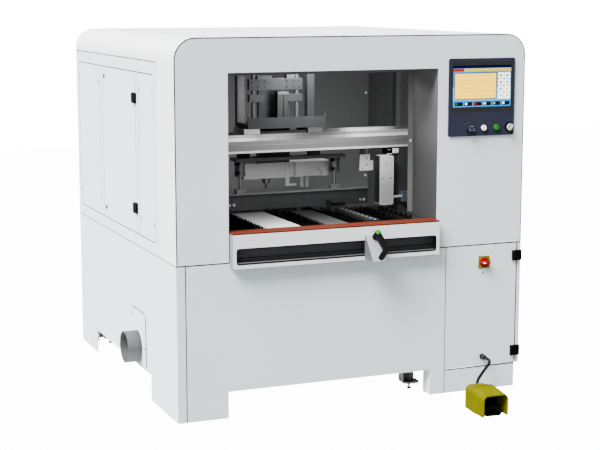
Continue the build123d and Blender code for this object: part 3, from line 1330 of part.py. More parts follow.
def foot_switch_guard():
    """Open hood in front and a tapering closed body behind it."""
    wall = GUARD_WALL
    inner_w, inner_radius = GUARD_W - 2 * wall, GUARD_RADIUS - wall
    front, seam, tail = [
        Plane(origin=(0, y, 0), x_dir=(1, 0, 0), z_dir=(0, -1, 0))
        for y in (pedal_front, guard_y1, guard_y1 + GUARD_TAIL_L)
    ]
    hood = loft([
        front * guard_outline(GUARD_W, GUARD_FRONT_H, GUARD_RADIUS),
        seam * guard_outline(GUARD_W, GUARD_H, GUARD_RADIUS),
    ])
    hood -= loft([
        front * guard_outline(inner_w, GUARD_FRONT_H - wall, inner_radius),
        seam * guard_outline(inner_w, GUARD_H - wall, inner_radius),
    ])
    body_end = seam * guard_outline(GUARD_BODY_W, GUARD_BODY_H, GUARD_RADIUS)
    tail_end = tail * guard_outline(GUARD_TAIL_W, GUARD_TAIL_H, GUARD_RADIUS)
    return hood + loft([body_end, tail_end])


def foot_switch_base():
    """Floor plate with two ears that hold the treadle's pin."""
    x0, x1 = pedal_x - PEDAL_BASE_W / 2, pedal_x + PEDAL_BASE_W / 2
    plate = block(x0, x1, guard_y1 - PEDAL_BASE_L, guard_y1, 0, PEDAL_BASE_T)
    front = plate.edges().filter_by(Axis.Z).group_by(Axis.Y)[0]
    plate = chamfer(front, PEDAL_BASE_W / 5)
    ear_y = (guard_y1 - PEDAL_EAR_L, guard_y1)
    ears = [block(x, x + PEDAL_EAR_T, *ear_y, 0, PEDAL_EAR_H) for x in (x0, x1 - PEDAL_EAR_T)]
    return plate + ears + [rod_x(PEDAL_PIN_R, x0, x1, pedal_pin_y, PEDAL_PIN_Z)]


def treadle():
    """Foot plate on a barrel round the pin, sloping down to the front."""
    y0 = pedal_pin_y - TREADLE_L
    top = PEDAL_PIN_Z + TREADLE_BARREL_R
    outline = Polygon((pedal_pin_y, top), (y0, top - TREADLE_DROP),
                      (y0, top - TREADLE_DROP - TREADLE_T), (pedal_pin_y, top - TREADLE_T), align=None)
    outline += Pos(pedal_pin_y, PEDAL_PIN_Z) * Circle(TREADLE_BARREL_R)
    outline -= Pos(pedal_pin_y, PEDAL_PIN_Z) * Circle(PEDAL_PIN_R + BORE_FIT)
    return prism_x(outline, pedal_x - TREADLE_W / 2, pedal_x + TREADLE_W / 2)


def foot_cable():
    """Round cable along straight runs and tangent arcs, as large as the runs allow."""
    points = [Vector(*point) for point in cable_points]
    radii = []
    for before, corner, after in zip(points, points[1:], points[2:]):
        turn = (corner - before).get_angle(after - corner)
        shorter = min((corner - before).length, (after - corner).length)
        radii.append(0.45 * shorter / tan(radians(turn / 2)))
    route = FilletPolyline(*points, radius=radii)
    start = Plane(origin=points[0], z_dir=points[1] - points[0])
    cable = sweep(start * Circle(CABLE_R), path=route)
    section = Circle(CABLE_R).area
    print("cable radii", [round(r, 1) for r in radii], "length", round(route.length, 1))
    print("cable volume", round(cable.volume, 1), "section times length", round(section * route.length, 1))
    return cable


NODES = (
    base_frame, base_left_panel, base_front_panel, base_rear_panel, base_right_panel, plinth_panels,
    levelling_brackets, levelling_feet, dust_spigot, electrical_cabinet, switchgear, hinge_fixed_leaves,
    cabinet_door, cabinet_door_leaves, switch_plate, switch_handle, cable_gland, left_side_frame,
    fixed_side_panels, side_door, side_door_leaves, right_side_panel, roof_skin, hood_shell, front_panel,
    opening_reveal, rear_panel, console_panel, touch_screen, button_bezels, estop_button, white_button,
    green_button, selector_knob, front_bar, slide_strip, clamp_bracket, clamp_lever, table_deck,
    table_brushes, table_slats, guide_studs, gripper_rail, panel_gripper, gantry_uprights, gantry_beam,
    gantry_rails, presser_carrier, presser_cylinders, presser_bar, head_carriage, tool_slide, spindle_motor,
    tool_spindle, pusher_cylinder, side_pusher, foot_switch_guard, foot_switch_base, treadle, foot_cable,
)


def main():
    os.makedirs("parts", exist_ok=True)
    shift = Pos(-ORIGIN[0], -ORIGIN[1], -ORIGIN[2])
    for node in NODES:
        export_step(shift * node(), f"parts/{node.__name__}.step")


if __name__ == "__main__":
    main()
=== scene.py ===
import math
import random

import bmesh
import bpy
from mathutils import Matrix, Vector


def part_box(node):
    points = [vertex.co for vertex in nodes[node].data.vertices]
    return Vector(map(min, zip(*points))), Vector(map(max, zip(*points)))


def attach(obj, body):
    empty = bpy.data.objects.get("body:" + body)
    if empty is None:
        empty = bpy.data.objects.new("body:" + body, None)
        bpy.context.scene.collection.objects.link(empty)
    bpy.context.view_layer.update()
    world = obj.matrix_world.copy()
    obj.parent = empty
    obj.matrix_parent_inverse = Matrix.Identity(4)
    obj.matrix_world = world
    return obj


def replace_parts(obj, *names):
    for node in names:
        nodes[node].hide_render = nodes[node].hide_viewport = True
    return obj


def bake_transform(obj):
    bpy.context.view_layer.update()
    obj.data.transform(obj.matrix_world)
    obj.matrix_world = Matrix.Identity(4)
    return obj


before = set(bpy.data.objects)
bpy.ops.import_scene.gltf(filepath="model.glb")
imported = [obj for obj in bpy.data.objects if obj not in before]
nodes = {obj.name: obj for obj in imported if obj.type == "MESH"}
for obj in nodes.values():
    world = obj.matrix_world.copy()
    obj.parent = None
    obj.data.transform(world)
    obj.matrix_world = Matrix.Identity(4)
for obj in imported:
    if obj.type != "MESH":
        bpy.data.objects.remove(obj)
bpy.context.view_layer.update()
scene = bpy.context.scene
rng = random.Random(41)

# Machine coordinates: millimetres from the front left corner of the body at the floor,
# X to the right, Y to the back, Z up
ORIGIN_X, ORIGIN_Y = (round(-v * 1000, 1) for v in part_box("base_left_panel")[0][:2])
X, Y, Z = Vector((1, 0, 0)), Vector((0, 1, 0)), Vector((0, 0, 1))
SQUARE = ((-1, -1), (1, -1), (1, 1), (-1, 1))


def at(x, y, z):
    """The frame's point, in metres, of a point in machine coordinates."""
    return Vector(((x - ORIGIN_X) / 1000, (y - ORIGIN_Y) / 1000, z / 1000))


def span(node):
    """The lowest and highest corners of a CAD node in machine coordinates, to a tenth."""
    shift = (ORIGIN_X, ORIGIN_Y, 0)
    return [[round(v * 1000 + s, 1) for v, s in zip(corner, shift)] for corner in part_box(node)]


def middle(node):
    """The middle of a CAD node's box in machine coordinates."""
    return [(low + high) / 2 for low, high in zip(*span(node))]


def placed(name, data):
    """A new object in the scene that shows the data."""
    obj = bpy.data.objects.new(name, data)
    scene.collection.objects.link(obj)
    return obj


# The body, from its CAD nodes
BODY_W, HOOD_D, BODY_H = span("hood_shell")[1]
BODY_D = span("rear_panel")[1][1]
CORNER_R = 80
BASE_SEAM = span("base_front_panel")[1][2] + 1
OPENING_FLANGE = 2
OPENING_X0 = span("opening_reveal")[0][0] + OPENING_FLANGE
OPENING_X1 = span("opening_reveal")[1][0] - OPENING_FLANGE

# Camera
CAMERA_PLACE = (-1537.7, -4911.7, 1561.4)
CAMERA_TILT, CAMERA_TURN = 80.9, -22.36
FOCAL_LENGTH, SENSOR_W, CAMERA_REACH = 86.83, 36, 60

lens = bpy.data.cameras.new("camera")
lens.lens = FOCAL_LENGTH
lens.sensor_width = SENSOR_W
lens.clip_end = CAMERA_REACH
camera = placed("camera", lens)
camera.location = at(*CAMERA_PLACE)
camera.rotation_euler = (math.radians(CAMERA_TILT), 0, math.radians(CAMERA_TURN))
scene.camera = camera

# Material functions: colours and greys are screen values from 0 to 255
NOISE_BAND = (0.3, 0.7)
CLOUD_DETAIL, GRAIN_DETAIL = 4, 2
GRAIN_DEPTH, GLOSS_SWING = 0.0006, 0.07
METAL_FROM, METAL_SHINE, PAINT_SHINE, LIT_BASE = 0.25, 0.5, 0.15, 0.15
EDGE_DOT, EDGE_WEAR = (0.97, 0.80), 0.8
RIB_BAND, RIB_DEPTH, RIB_SCALE = (0.15, 0.5), 0.001, 0.314
EVEN = (1, 1, 1)


def linear(colour):
    """A screen colour as linear light."""
    return tuple(((v / 255 + 0.055) / 1.055) ** 2.4 if v > 10 else v / 255 / 12.92 for v in colour)


def wire(node, inputs):
    """Sets a node's inputs, or links them to other nodes' outputs, by name or number."""
    for key, value in inputs.items():
        if isinstance(value, bpy.types.NodeSocket):
            node.id_data.links.new(value, node.inputs[key])
        else:
            node.inputs[key].default_value = value


def add(tree, kind, inputs=None, out=0, **settings):
    """An output of a new shader node with these inputs and settings."""
    node = tree.nodes.new("ShaderNode" + kind)
    for key, value in settings.items():
        setattr(node, key, value)
    wire(node, inputs or {})
    return node.outputs[out]


def dress(mat, inputs):
    """Sets or links the inputs of a material's surface."""
    wire(mat.node_tree.nodes["Principled BSDF"], inputs)


def place_on(tree):
    """A point's place on its piece, in metres of the frame."""
    return add(tree, "TexCoord", out="Object")


def noise(tree, scale, detail, stretch):
    laid = add(tree, "Mapping", {"Vector": place_on(tree), "Scale": stretch})
    return add(tree, "TexNoise", {"Vector": laid, "Scale": scale, "Detail": detail})


def ramp(tree, factor, band, dark, light):
    """A colour ramp from dark to light over a band of the factor's values."""
    tone = add(tree, "ValToRGB", {0: factor})
    first, last = tone.node.color_ramp.elements
    first.position, last.position = band
    first.color, last.color = (*dark, 1), (*light, 1)
    return tone


def map_range(tree, value, start, end):
    """The value mapped from the start range to the end range."""
    limits = dict(zip((1, 2, 3, 4), (*start, *end)))
    return add(tree, "MapRange", {"Value": value, **limits})


def worn_edges(tree, tone, worn, radius):
    """The tone, mixed with a worn colour where a rounded edge would turn away from the face."""
    soft = add(tree, "Bevel", {"Radius": radius}, samples=4)
    true = add(tree, "NewGeometry", out="Normal")
    dot = add(tree, "VectorMath", {0: soft, 1: true}, "Value", operation="DOT_PRODUCT")
    edge = map_range(tree, dot, EDGE_DOT, (0, EDGE_WEAR))
    return add(tree, "Mix", {"Factor": edge, 6: tone, 7: (*linear(worn), 1)}, 2, data_type="RGBA")


def finish(name, colour, rough, spread=0.05, patch=5, metal=0, grain=900, bump=0.06,
           stretch=EVEN, wear=None, shine=None, sockets=None):
    """A surface with soft patches of tone, a fine grain in its gloss and relief, and worn edges.

    Spread is the share by which the tone strays, and patch the scale of its patches."""
    mat = bpy.data.materials.new(name)
    mat.use_nodes = True
    tree = mat.node_tree
    cloud = noise(tree, patch, CLOUD_DETAIL, stretch)
    fine = noise(tree, grain, GRAIN_DETAIL, stretch)
    base = linear(colour)
    dark = [v * (1 - spread) for v in base]
    light = [min(1, v * (1 + spread)) for v in base]
    tone = ramp(tree, cloud, NOISE_BAND, dark, light)
    if wear:
        tone = worn_edges(tree, tone, *wear)
    gloss = map_range(tree, fine, NOISE_BAND, (max(0.02, rough - GLOSS_SWING), min(1, rough + GLOSS_SWING)))
    relief = add(tree, "Bump", {"Strength": bump, "Distance": GRAIN_DEPTH, "Height": fine})
    if shine is None:
        shine = METAL_SHINE if metal > METAL_FROM else PAINT_SHINE
    dress(mat, {"Metallic": metal, "Specular IOR Level": shine, "Base Color": tone, "Roughness": gloss,
                "Normal": relief, **(sockets or {})})
    return mat


def ribbed(name, colour, rough, pitch, axis, metal=0, depth=0.35, tone=0.35):
    """A surface with fine parallel ribs along one axis, such as a duct's slots."""
    mat = finish(name, colour, rough, metal=metal)
    tree = mat.node_tree
    inputs = {"Vector": place_on(tree), "Scale": RIB_SCALE / pitch, "Distortion": 0}
    wave = add(tree, "TexWave", inputs, "Fac", bands_direction=axis)
    base = linear(colour)
    shade = ramp(tree, wave, RIB_BAND, [v * (1 - tone) for v in base], base)
    relief = add(tree, "Bump", {"Strength": depth, "Distance": RIB_DEPTH, "Height": wave})
    dress(mat, {"Base Color": shade, "Normal": relief})
    return mat


def tones_along(tree, axis, stops):
    """Grey tones along one axis: stops are pairs of machine millimetres and grey."""
    shift = (ORIGIN_X, ORIGIN_Y, 0)[axis]
    start, end = stops[0][0], stops[-1][0]
    along = add(tree, "SeparateXYZ", {0: place_on(tree)}, axis)
    ends = ((start - shift) / 1000, (end - shift) / 1000)
    tones = add(tree, "ValToRGB", {0: map_range(tree, along, ends, (0, 1))})
    row = tones.node.color_ramp.elements
    for _ in stops[2:]:
        row.new(0.5)
    for element, (distance, grey) in zip(row, stops):
        element.position = (distance - start) / (end - start)
        element.color = (*linear((grey,) * 3), 1)
    return tones


def graded(name, stops, rough, metal=0, axis=2, patch=10, stretch=EVEN, shine=None, spread=0.1, across=None):
    """A surface whose tone changes along one axis, and by a factor along another, with a soft mottle: painted
    light and shade.
    """
    mat = finish(name, (stops[0][1],) * 3, rough, metal=metal, shine=shine)
    tree = mat.node_tree
    cloud = noise(tree, patch, CLOUD_DETAIL, stretch)
    tone = tones_along(tree, axis, stops)
    factors = [ramp(tree, cloud, NOISE_BAND, (1 - spread,) * 3, (1,) * 3)]
    if across:
        factors.append(tones_along(tree, *across))
    for factor in factors:
        inputs = {"Factor": 1, 6: tone, 7: factor}
        tone = add(tree, "Mix", inputs, 2, data_type="RGBA", blend_type="MULTIPLY")
    dress(mat, {"Base Color": tone})
    return mat


def lit(name, colour, strength):
    """A tile of a lit display: a dark base with a faint mottle, and a glow of its own."""
    glow = {"Emission Color": (*linear(colour), 1), "Emission Strength": strength}
    return finish(name, [v * LIT_BASE for v in colour], 0.3, 0.04, 60, bump=0, shine=0.05, sockets=glow)


# Directions of a material's streaks: squeezed across the run and drawn out along it
ALONG_X, ALONG_Y, ALONG_Z = (0.3, 5, 5), (6, 0.3, 6), (4, 4, 0.4)
LONG_X = (0.2, 6, 6)

# Painted sheet metal
WHITE = finish("shell_white", (223, 228, 232), 0.42, 0.018, 2, grain=1500, bump=0.05)
# The body's front faces: a greyer copy of the shell white, a painted shade for the front's lesser light
FRONT_SHADE = finish("front_grey", (213, 223, 227), 0.42, 0.018, 2, grain=1500, bump=0.05)
# The roof and hood: a lighter copy of the shell white, a painted highlight for the light from above
ROOF_LIT = finish("roof_painted_highlight", (238, 240, 241), 0.42, 0.015, 2, grain=1500, bump=0.05)
FRAME = finish("frame_grey", (58, 60, 62), 0.55, 0.1, 7)
# Greys for the inside of the body and base: painted shade for the dim inside
SHADED_GREY = finish("inner_painted_shade", (106, 107, 107), 0.62, 0.06, 3.5, bump=0.08)
INNER_SHADE = finish("inner_shade", (80, 81, 81), 0.62, 0.06, 3.5, bump=0.08)
# Painted shadow: black for open gaps between panels, grey for shut gaps and outlines
GAP_SHADOW = finish("gap_painted_shadow", (5, 5, 5), 0.8, 0.2, shine=0.05)
LINE_SHADE = finish("line_painted_shade", (70, 72, 74), 0.7, 0.1)
BAR_WHITE = finish("bar_white", (214, 218, 220), 0.36, 0.02, 4, grain=1300, bump=0.04)
BAR_END_SHADE = finish("bar_end_painted_shade", (112, 115, 117), 0.42, 0.03, 12)
# Painted shade in the opening's reveal, graded with height
REVEAL_SHADING = graded("reveal_painted_shading", ((600, 48), (900, 48), (1130, 72), (1279, 112)), 0.45, patch=3)
FLANGE = finish("flange_grey", (102, 102, 102), 0.45, 0.06, 3)
SLOT_SHADE = finish("slot_painted_shade", (66, 67, 68), 0.6, 0.08, 9)
BRACKET = finish("bracket_grey", (120, 122, 123), 0.5, 0.06, 12)
CLAMP_SIDE_SHADE = finish("clamp_side_painted_shade", (74, 76, 77), 0.42, 0.04, 12)
CLAMP_FACE = finish("clamp_face", (126, 129, 130), 0.42, 0.04, 12)
DUCT = finish("duct_grey", (74, 75, 77), 0.5, 0.05, 12, grain=1100)
# Painted light and shade on the spigot's tube, outside and inside
DUCT_OUTER = graded("duct_outer", ((119, 205), (135, 160), (152, 124), (182, 78), (245, 76)), 0.5,
                    patch=12, across=(0, ((-62, 255), (-28, 236), (-3, 185))))
DUCT_INNER = graded("duct_inner", ((119, 70), (175, 74), (215, 112), (245, 160)), 0.5, patch=12)

# Plastics and rubber
BLACK = finish("black_plastic", (5, 5, 5), 0.48, 0.25, 40, grain=2200, bump=0.15,
               wear=((24, 24, 25), 0.0012), shine=0.06)
HINGE = finish("hinge_black", (4, 4, 4), 0.4, 0.25, 30, wear=((26, 26, 27), 0.0012), shine=0.06)
STUD = finish("stud_black", (6, 6, 6), 0.6, 0.25, 60, grain=1600, shine=0.06)
BRISTLE = finish("bristle_black", (4, 4, 4), 0.55, 0.3, 80, shine=0.05)
RUBBER = finish("pedal_black", (5, 5, 5), 0.62, 0.25, 40, grain=1500, bump=0.2, shine=0.06)
CABLE = finish("cable_black", (6, 6, 6), 0.5, 0.2, 60, shine=0.12)
YELLOW = finish("switch_yellow", (106, 124, 0), 0.42, 0.05, 30, shine=0)
RED = finish("switch_red", (122, 14, 9), 0.36, 0.06, 40, shine=0.08)
PALE = finish("button_white", (244, 244, 241), 0.35, 0.02, 30)
GREEN = finish("button_green", (26, 108, 30), 0.35, 0.06, 30, shine=0.08)
CAP_GREEN = finish("cap_green", (22, 104, 3), 0.4, 0.05, 40, shine=0.1)
MARK = finish("mark_yellow_green", (62, 70, 14), 0.5)
KNOB = finish("knob_pale", (228, 229, 230), 0.38, 0.04, 50)
NAVY = finish("console_navy", (38, 40, 53), 0.46, 0.05, 8, grain=2000, bump=0.08, shine=0.06)
NAVY_SHADE = finish("console_shade", (15, 16, 23), 0.46, 0.05, 8, grain=2000, bump=0.08, shine=0.06)
BEZEL = finish("bezel_black", (5, 5, 6), 0.32, 0.15, 14, shine=0.06)
BORDER = finish("screen_border", (36, 36, 36), 0.3, 0.08, 14, shine=0.1)
GLASS = finish("screen_glass", (10, 11, 15), 0.12, 0.06, 6, bump=0, shine=0.1, sockets={"Coat Weight": 0.08})
STRIP = finish("strip_red_brown", (72, 27, 14), 0.5, 0.22, 26, grain=700,
               stretch=(0.25, 4, 4), wear=((90, 40, 25), 0.0012), shine=0.06)
PEDAL = finish("pedal_yellow", (79, 77, 0), 0.4, 0.06, 16, grain=1400, bump=0.1, shine=0)
PEDAL_RIM_LIT = finish("pedal_rim_highlight", (104, 101, 0), 0.4, 0.06, 16, shine=0)
PEDAL_SEAM = finish("pedal_seam", (70, 64, 16), 0.6, 0.15, 40, shine=0.05)
DEVICE = finish("device_grey", (137, 138, 137), 0.46, 0.03, 18)
SLOTTED = ribbed("duct_slotted", (116, 118, 119), 0.5, 0.008, "Z")

# Bare and plated metal
ZINC = finish("zinc", (121, 123, 121), 0.34, 0.14, 55, metal=0.85, grain=400)
BRIGHT = finish("bright_steel", (137, 138, 139), 0.22, 0.05, 24, metal=0.95, stretch=(0.3, 6, 6))
TOOL = finish("tool_steel", (116, 116, 113), 0.24, 0.1, 60, metal=0.95)
GUIDE = finish("guide_grey", (38, 39, 40), 0.4, 0.06, 12, metal=0.1, stretch=ALONG_X)
DARK = finish("dark_metal", (34, 35, 36), 0.45, 0.12, 16, metal=0.3, shine=0.15)
LIGHT = finish("light_metal", (172, 174, 174), 0.38, 0.05, 12, metal=0.3)
CARRIER = finish("carrier_grey", (74, 75, 76), 0.45, 0.1, 14, metal=0.2, stretch=ALONG_X)
CYLINDER = finish("cylinder_grey", (97, 98, 99), 0.34, 0.07, 20, metal=0.7, stretch=ALONG_Z)
BLUE_GREY = finish("pusher_blue_grey", (77, 86, 97), 0.4, 0.08, 22, metal=0.3)
PRESSER = finish("presser_dark", (60, 61, 62), 0.4, 0.08, 10, metal=0.2, stretch=ALONG_X)
HEAD = finish("head_grey", (50, 51, 52), 0.42, 0.12, 14, metal=0.3, grain=700, shine=0.2)
LIFT = finish("lift_grey", (30, 31, 32), 0.42, 0.1, 14, metal=0.3, stretch=ALONG_Z)
COLUMN = finish("column_grey", (78, 79, 80), 0.42, 0.08, 10, metal=0.3, stretch=ALONG_Z)
MOTOR = ribbed("motor_dark", (28, 29, 32), 0.45, 0.007, "Z", 0.3)
# Slats with painted light and shade, lighter at the front
SLAT = graded("slat_aluminium", ((45, 230), (120, 214), (300, 150), (440, 120)), 0.4, 0.15, 1,
              stretch=ALONG_Y, shine=0.3)
SLAT_GREY = graded("slat_grey", ((45, 74), (150, 62), (300, 46), (440, 36)), 0.4, 0.2, 1, stretch=ALONG_Y)
# A painted highlight on the pusher plate, lighter towards its top
PLATE_HIGHLIGHT = graded("pusher_plate", ((700, 176), (745, 168), (800, 176), (860, 226), (917, 240)), 0.36, 0.2,
               patch=12, stretch=(6, 6, 0.5))
# Painted highlights and reflections on the beam and its rails
BEAM_HIGHLIGHTS = graded("beam_aluminium",
              ((949, 240), (955.6, 240), (957.4, 122), (976, 138), (993, 134), (1019, 120)),
              0.38, 0.3, patch=12, stretch=LONG_X, spread=0.04,
              across=(0, ((40, 255), (330, 243), (600, 214), (700, 214), (930, 255), (1400, 255))))
EDGE_REFLECTION = graded("beam_edge_painted_reflection",
              ((40, 250), (370, 250), (450, 104), (520, 46), (620, 50), (690, 76), (750, 104), (810, 160),
               (870, 250), (1400, 255)), 0.3, 0.3, 0, patch=12, stretch=LONG_X, spread=0.06,
              across=(2, ((995, 255), (1005.5, 255), (1009, 170), (1019, 190))))
RAIL_HIGHLIGHT = graded("rail_painted_highlight",
              ((40, 60), (330, 42), (560, 36), (720, 58), (790, 92), (850, 235), (960, 250), (1050, 116),
               (1400, 90)), 0.26, 0.4, 0, patch=12, stretch=LONG_X, spread=0.06)


# Mesh building: the outlines of a screw are shares of its radius and height
SCREW_HEAD, SCREW_SOCKET = ((1, 0), (1, 0.55), (0.78, 1), (0.45, 1)), ((0.4, 0), (0.4, 0.32))
SOCKET_SEAT, MITRE_LIMIT = 0.7, 0.5


class Piece:
    """A mesh piece built in machine millimetres from closed forms, riding on one CAD body."""

    def __init__(self, name, *materials, body="machine", slot=None):
        self.name, self.body, self.materials, self.slot = name, body, materials, slot
        self.bm = bmesh.new()

    def mark(self, faces, mat):
        for face in faces:
            face.material_index, face.smooth = mat, True

    def ring(self, centre, side, other, radius, steps):
        """Corner points round a centre, in the plane of two directions."""
        turns = (2 * math.pi * i / steps for i in range(steps))
        return [self.bm.verts.new(centre + (side * math.cos(a) + other * math.sin(a)) * radius)
                for a in turns]

    def skin(self, rings, mat, closed=False):
        """Faces from each ring to the next, with end caps unless the rings close on themselves."""
        faces = []
        for a, b in zip(rings, rings[1:] + (rings[:1] if closed else [])):
            for i in range(len(a)):
                j = (i + 1) % len(a)
                faces.append(self.bm.faces.new((a[i], a[j], b[j], b[i])))
        if not closed:
            faces += [self.bm.faces.new(rings[0][::-1]), self.bm.faces.new(rings[-1])]
        self.mark(faces, mat)
        return self

    def box(self, x, y, z, bevel=0, mat=0):
        sides = [(b - a) for a, b in (x, y, z)]
        centre = [(a + b) / 2 for a, b in (x, y, z)]
        verts = bmesh.ops.create_cube(self.bm, size=1)["verts"]
        bmesh.ops.scale(self.bm, verts=verts, vec=sides)
        bmesh.ops.translate(self.bm, verts=verts, vec=centre)
        self.mark({f for v in verts for f in v.link_faces}, mat)
        if bevel:
            edges = list(dict.fromkeys(e for v in verts for e in v.link_edges))
            made = bmesh.ops.bevel(self.bm, geom=edges, offset=bevel, segments=2, profile=0.5, affect="EDGES")
            self.mark(made["faces"], mat)
        return self

    def lathe(self, centre, axis, profile, steps=28, mat=0):
        """A turned form: profile is (radius, height along the axis) from one end to the other."""
        axis = Vector(axis).normalized()
        side = axis.orthogonal().normalized()
        other = axis.cross(side)
        rings = [self.ring(Vector(centre) + axis * height, side, other, radius, steps)
                 for radius, height in profile]
        return self.skin(rings, mat)

    def sweep(self, points, normals, width, height, closed=False, mat=0):
        """A flat bead along points on a face, standing out along its normal or along one for each point."""
        points = [Vector(p) for p in points]
        one = isinstance(normals, Vector)
        normals = [normals] * len(points) if one else [Vector(n) for n in normals]
        rings, count = [], len(points)
        for i, (p, normal) in enumerate(zip(points, normals)):
            runs = [(p - points[i - 1]).normalized()] if i or closed else []
            if i + 1 < count or closed:
                runs.append((points[(i + 1) % count] - p).normalized())
            along = sum(runs, Vector()).normalized()
            side = normal.cross(along)
            if len(runs) == 2:
                side = side / max(MITRE_LIMIT, side.dot(normal.cross(runs[0])))
            low, high = p - side * width / 2, p + side * width / 2
            corners = (low, high, high + normal * height, low + normal * height)
            rings.append([self.bm.verts.new(q) for q in corners])
        return self.skin(rings, mat, closed)

    def tile(self, corners, mat=0):
        self.mark([self.bm.faces.new([self.bm.verts.new(c) for c in corners])], mat)
        return self

    def screw(self, centre, out, radius, height=2, mat=0):
        """A pan head with a hexagon socket, standing on a face."""
        head = [(radius * r, height * h) for r, h in SCREW_HEAD]
        socket = [(radius * r, height * h) for r, h in SCREW_SOCKET]
        self.lathe(centre, out, head, 18, mat)
        return self.lathe(Vector(centre) + Vector(out) * height * SOCKET_SEAT, out, socket, 6, mat)

    def done(self, smooth=40):
        bmesh.ops.recalc_face_normals(self.bm, faces=self.bm.faces)
        shift = Matrix.Scale(0.001, 4) @ Matrix.Translation((-ORIGIN_X, -ORIGIN_Y, 0))
        bmesh.ops.transform(self.bm, matrix=shift, verts=self.bm.verts)
        sharp = math.radians(smooth)
        for edge in self.bm.edges:
            edge.smooth = len(edge.link_faces) == 2 and edge.calc_face_angle(0) < sharp
        mesh = bpy.data.meshes.new(self.name)
        self.bm.to_mesh(mesh)
        self.bm.free()
        for mat in self.materials:
            mesh.materials.append(mat)
        obj = placed(self.name, mesh)
        if self.body:
            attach(obj, self.body)
        return obj


# Outlines: pairs of coordinates in a plane, and the places they make on a face
def arc(centre, radius, start, end, steps):
    """Points round a centre, from a start angle to an end one, in degrees."""
    turns = (math.radians(start + (end - start) * k / steps) for k in range(steps + 1))
    return [(centre[0] + radius * math.cos(a), centre[1] + radius * math.sin(a)) for a in turns]


def on_front(y, points):
    return [(x, y, z) for x, z in points]


def on_left(x, points):
    return [(x, y, z) for y, z in points]


# Foot switch cable, from the gland on the cabinet door to the rear of the foot switch
CABLE_ROUTE = ((1265, -26, 134), (1265, -61, 134), (1252, -88, 129), (1200, -128, 109),
               (1158, -156, 84), (1147, -178, 66), (1147, -204, 64))
CABLE_R, CABLE_PITCH, CABLE_SIDES = 6, 4, 16
CABLE_SWELL = (1, 0.98, 0.93, 0.98)
CABLE_SMOOTH = 70


def smooth_line(name, route):
    """Points along the NURBS curve whose control points are the route's."""
    curve = bpy.data.curves.new(name, "CURVE")
    curve.dimensions = "3D"
    spline = curve.splines.new("NURBS")
    spline.points.add(len(route) - 1)
    for point, place in zip(spline.points, route):
        point.co = (*place, 1)
    spline.order_u = 3
    spline.use_endpoint_u = True
    spline.resolution_u = 20
    obj = placed(name, curve)
    mesh = bpy.data.meshes.new_from_object(obj)
    points = [v.co.copy() for v in mesh.vertices]
    bpy.data.objects.remove(obj)
    return points


def ribbed_tube(name, line):
    """A corrugated sleeve along a line: its radius swells and shrinks once in each pitch."""
    piece = Piece(name, CABLE, body=None, slot="cable_black")
    lengths = [0]
    for a, b in zip(line, line[1:]):
        lengths.append(lengths[-1] + (b - a).length)
    side = (line[1] - line[0]).orthogonal().normalized()
    rings, count = [], int(lengths[-1] / (CABLE_PITCH / len(CABLE_SWELL)))
    segment = 0
    for k in range(count + 1):
        s = lengths[-1] * k / count
        while segment < len(line) - 2 and lengths[segment + 1] < s:
            segment += 1
        run = line[segment + 1] - line[segment]
        place = line[segment] + run * ((s - lengths[segment]) / run.length)
        along = run.normalized()
        side = (side - along * side.dot(along)).normalized()
        swollen = CABLE_R * CABLE_SWELL[k % len(CABLE_SWELL)]
        rings.append(piece.ring(place, side, along.cross(side), swollen, CABLE_SIDES))
    return piece.skin(rings, 0).done(CABLE_SMOOTH)


cable_line = smooth_line("cable_line", CABLE_ROUTE)
cable = ribbed_tube("pedal_cable", cable_line)
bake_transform(cable)
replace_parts(cable, "foot_cable")

# Floor
FLOOR_REACH = 9
FLOOR = finish("floor_pale", (236, 237, 238), 0.7, 0.01, 1.2, grain=300, bump=0.01, sockets={"Alpha": 0.12})
ground = bpy.data.meshes.new("floor")
ground.from_pydata([(sx * FLOOR_REACH, sy * FLOOR_REACH, 0) for sx, sy in SQUARE], [], [(0, 1, 2, 3)])
ground.materials.append(FLOOR)
floor = placed("floor", ground)

# Light: a white studio that is brighter to the left and above, a broad soft key light,
# a lamp inside the hood and a glow from the floor under the machine
SKY_LEVEL, SKY_LEFT, SKY_TOP, SKY_BACKDROP = 0.68, 0.55, 0.75, 16
SUN_ENERGY, SUN_SPREAD, SUN_WAY = 18, 38, (0.58, 0.2, -0.79)
LAMP_PLACE, LAMP_SIZE, LAMP_ENERGY, LAMP_WAY = (690, 262, 1262), (0.9, 0.1), 11.5, (0, 0.25, -1)
GLOW_PLACE, GLOW_SIZE, GLOW_ENERGY = (716, 717, 4), (1.3, 1.3), 14

world = bpy.data.worlds.new("studio")
world.use_nodes = True
sky = world.node_tree
direction = add(sky, "TexCoord", out="Generated")
axes = add(sky, "SeparateXYZ", {0: direction}).node.outputs
left = add(sky, "Math", {0: axes[0], 1: -SKY_LEFT, 2: SKY_LEVEL}, operation="MULTIPLY_ADD")
whole = add(sky, "Math", {0: axes[2], 1: SKY_TOP, 2: left}, operation="MULTIPLY_ADD")
seen = add(sky, "LightPath", out="Is Camera Ray")
level = add(sky, "Mix", {0: seen, 2: whole, 3: SKY_BACKDROP})
wire(sky.nodes["Background"], {"Color": (1, 1, 1, 1), "Strength": level})
scene.world = world

sun = bpy.data.lights.new("sun", "SUN")
sun.energy = SUN_ENERGY
sun.angle = math.radians(SUN_SPREAD)
sun_object = placed("sun", sun)
sun_object.rotation_euler = Vector(SUN_WAY).to_track_quat("-Z", "Y").to_euler()


def area_lamp(name, place, size, energy, rotation):
    """A rectangular lamp that lights the scene and isn't seen itself."""
    lamp = bpy.data.lights.new(name, "AREA")
    lamp.shape = "RECTANGLE"
    lamp.size, lamp.size_y = size
    lamp.energy = energy
    obj = placed(name, lamp)
    obj.location = at(*place)
    obj.rotation_euler = rotation
    obj.visible_camera = False


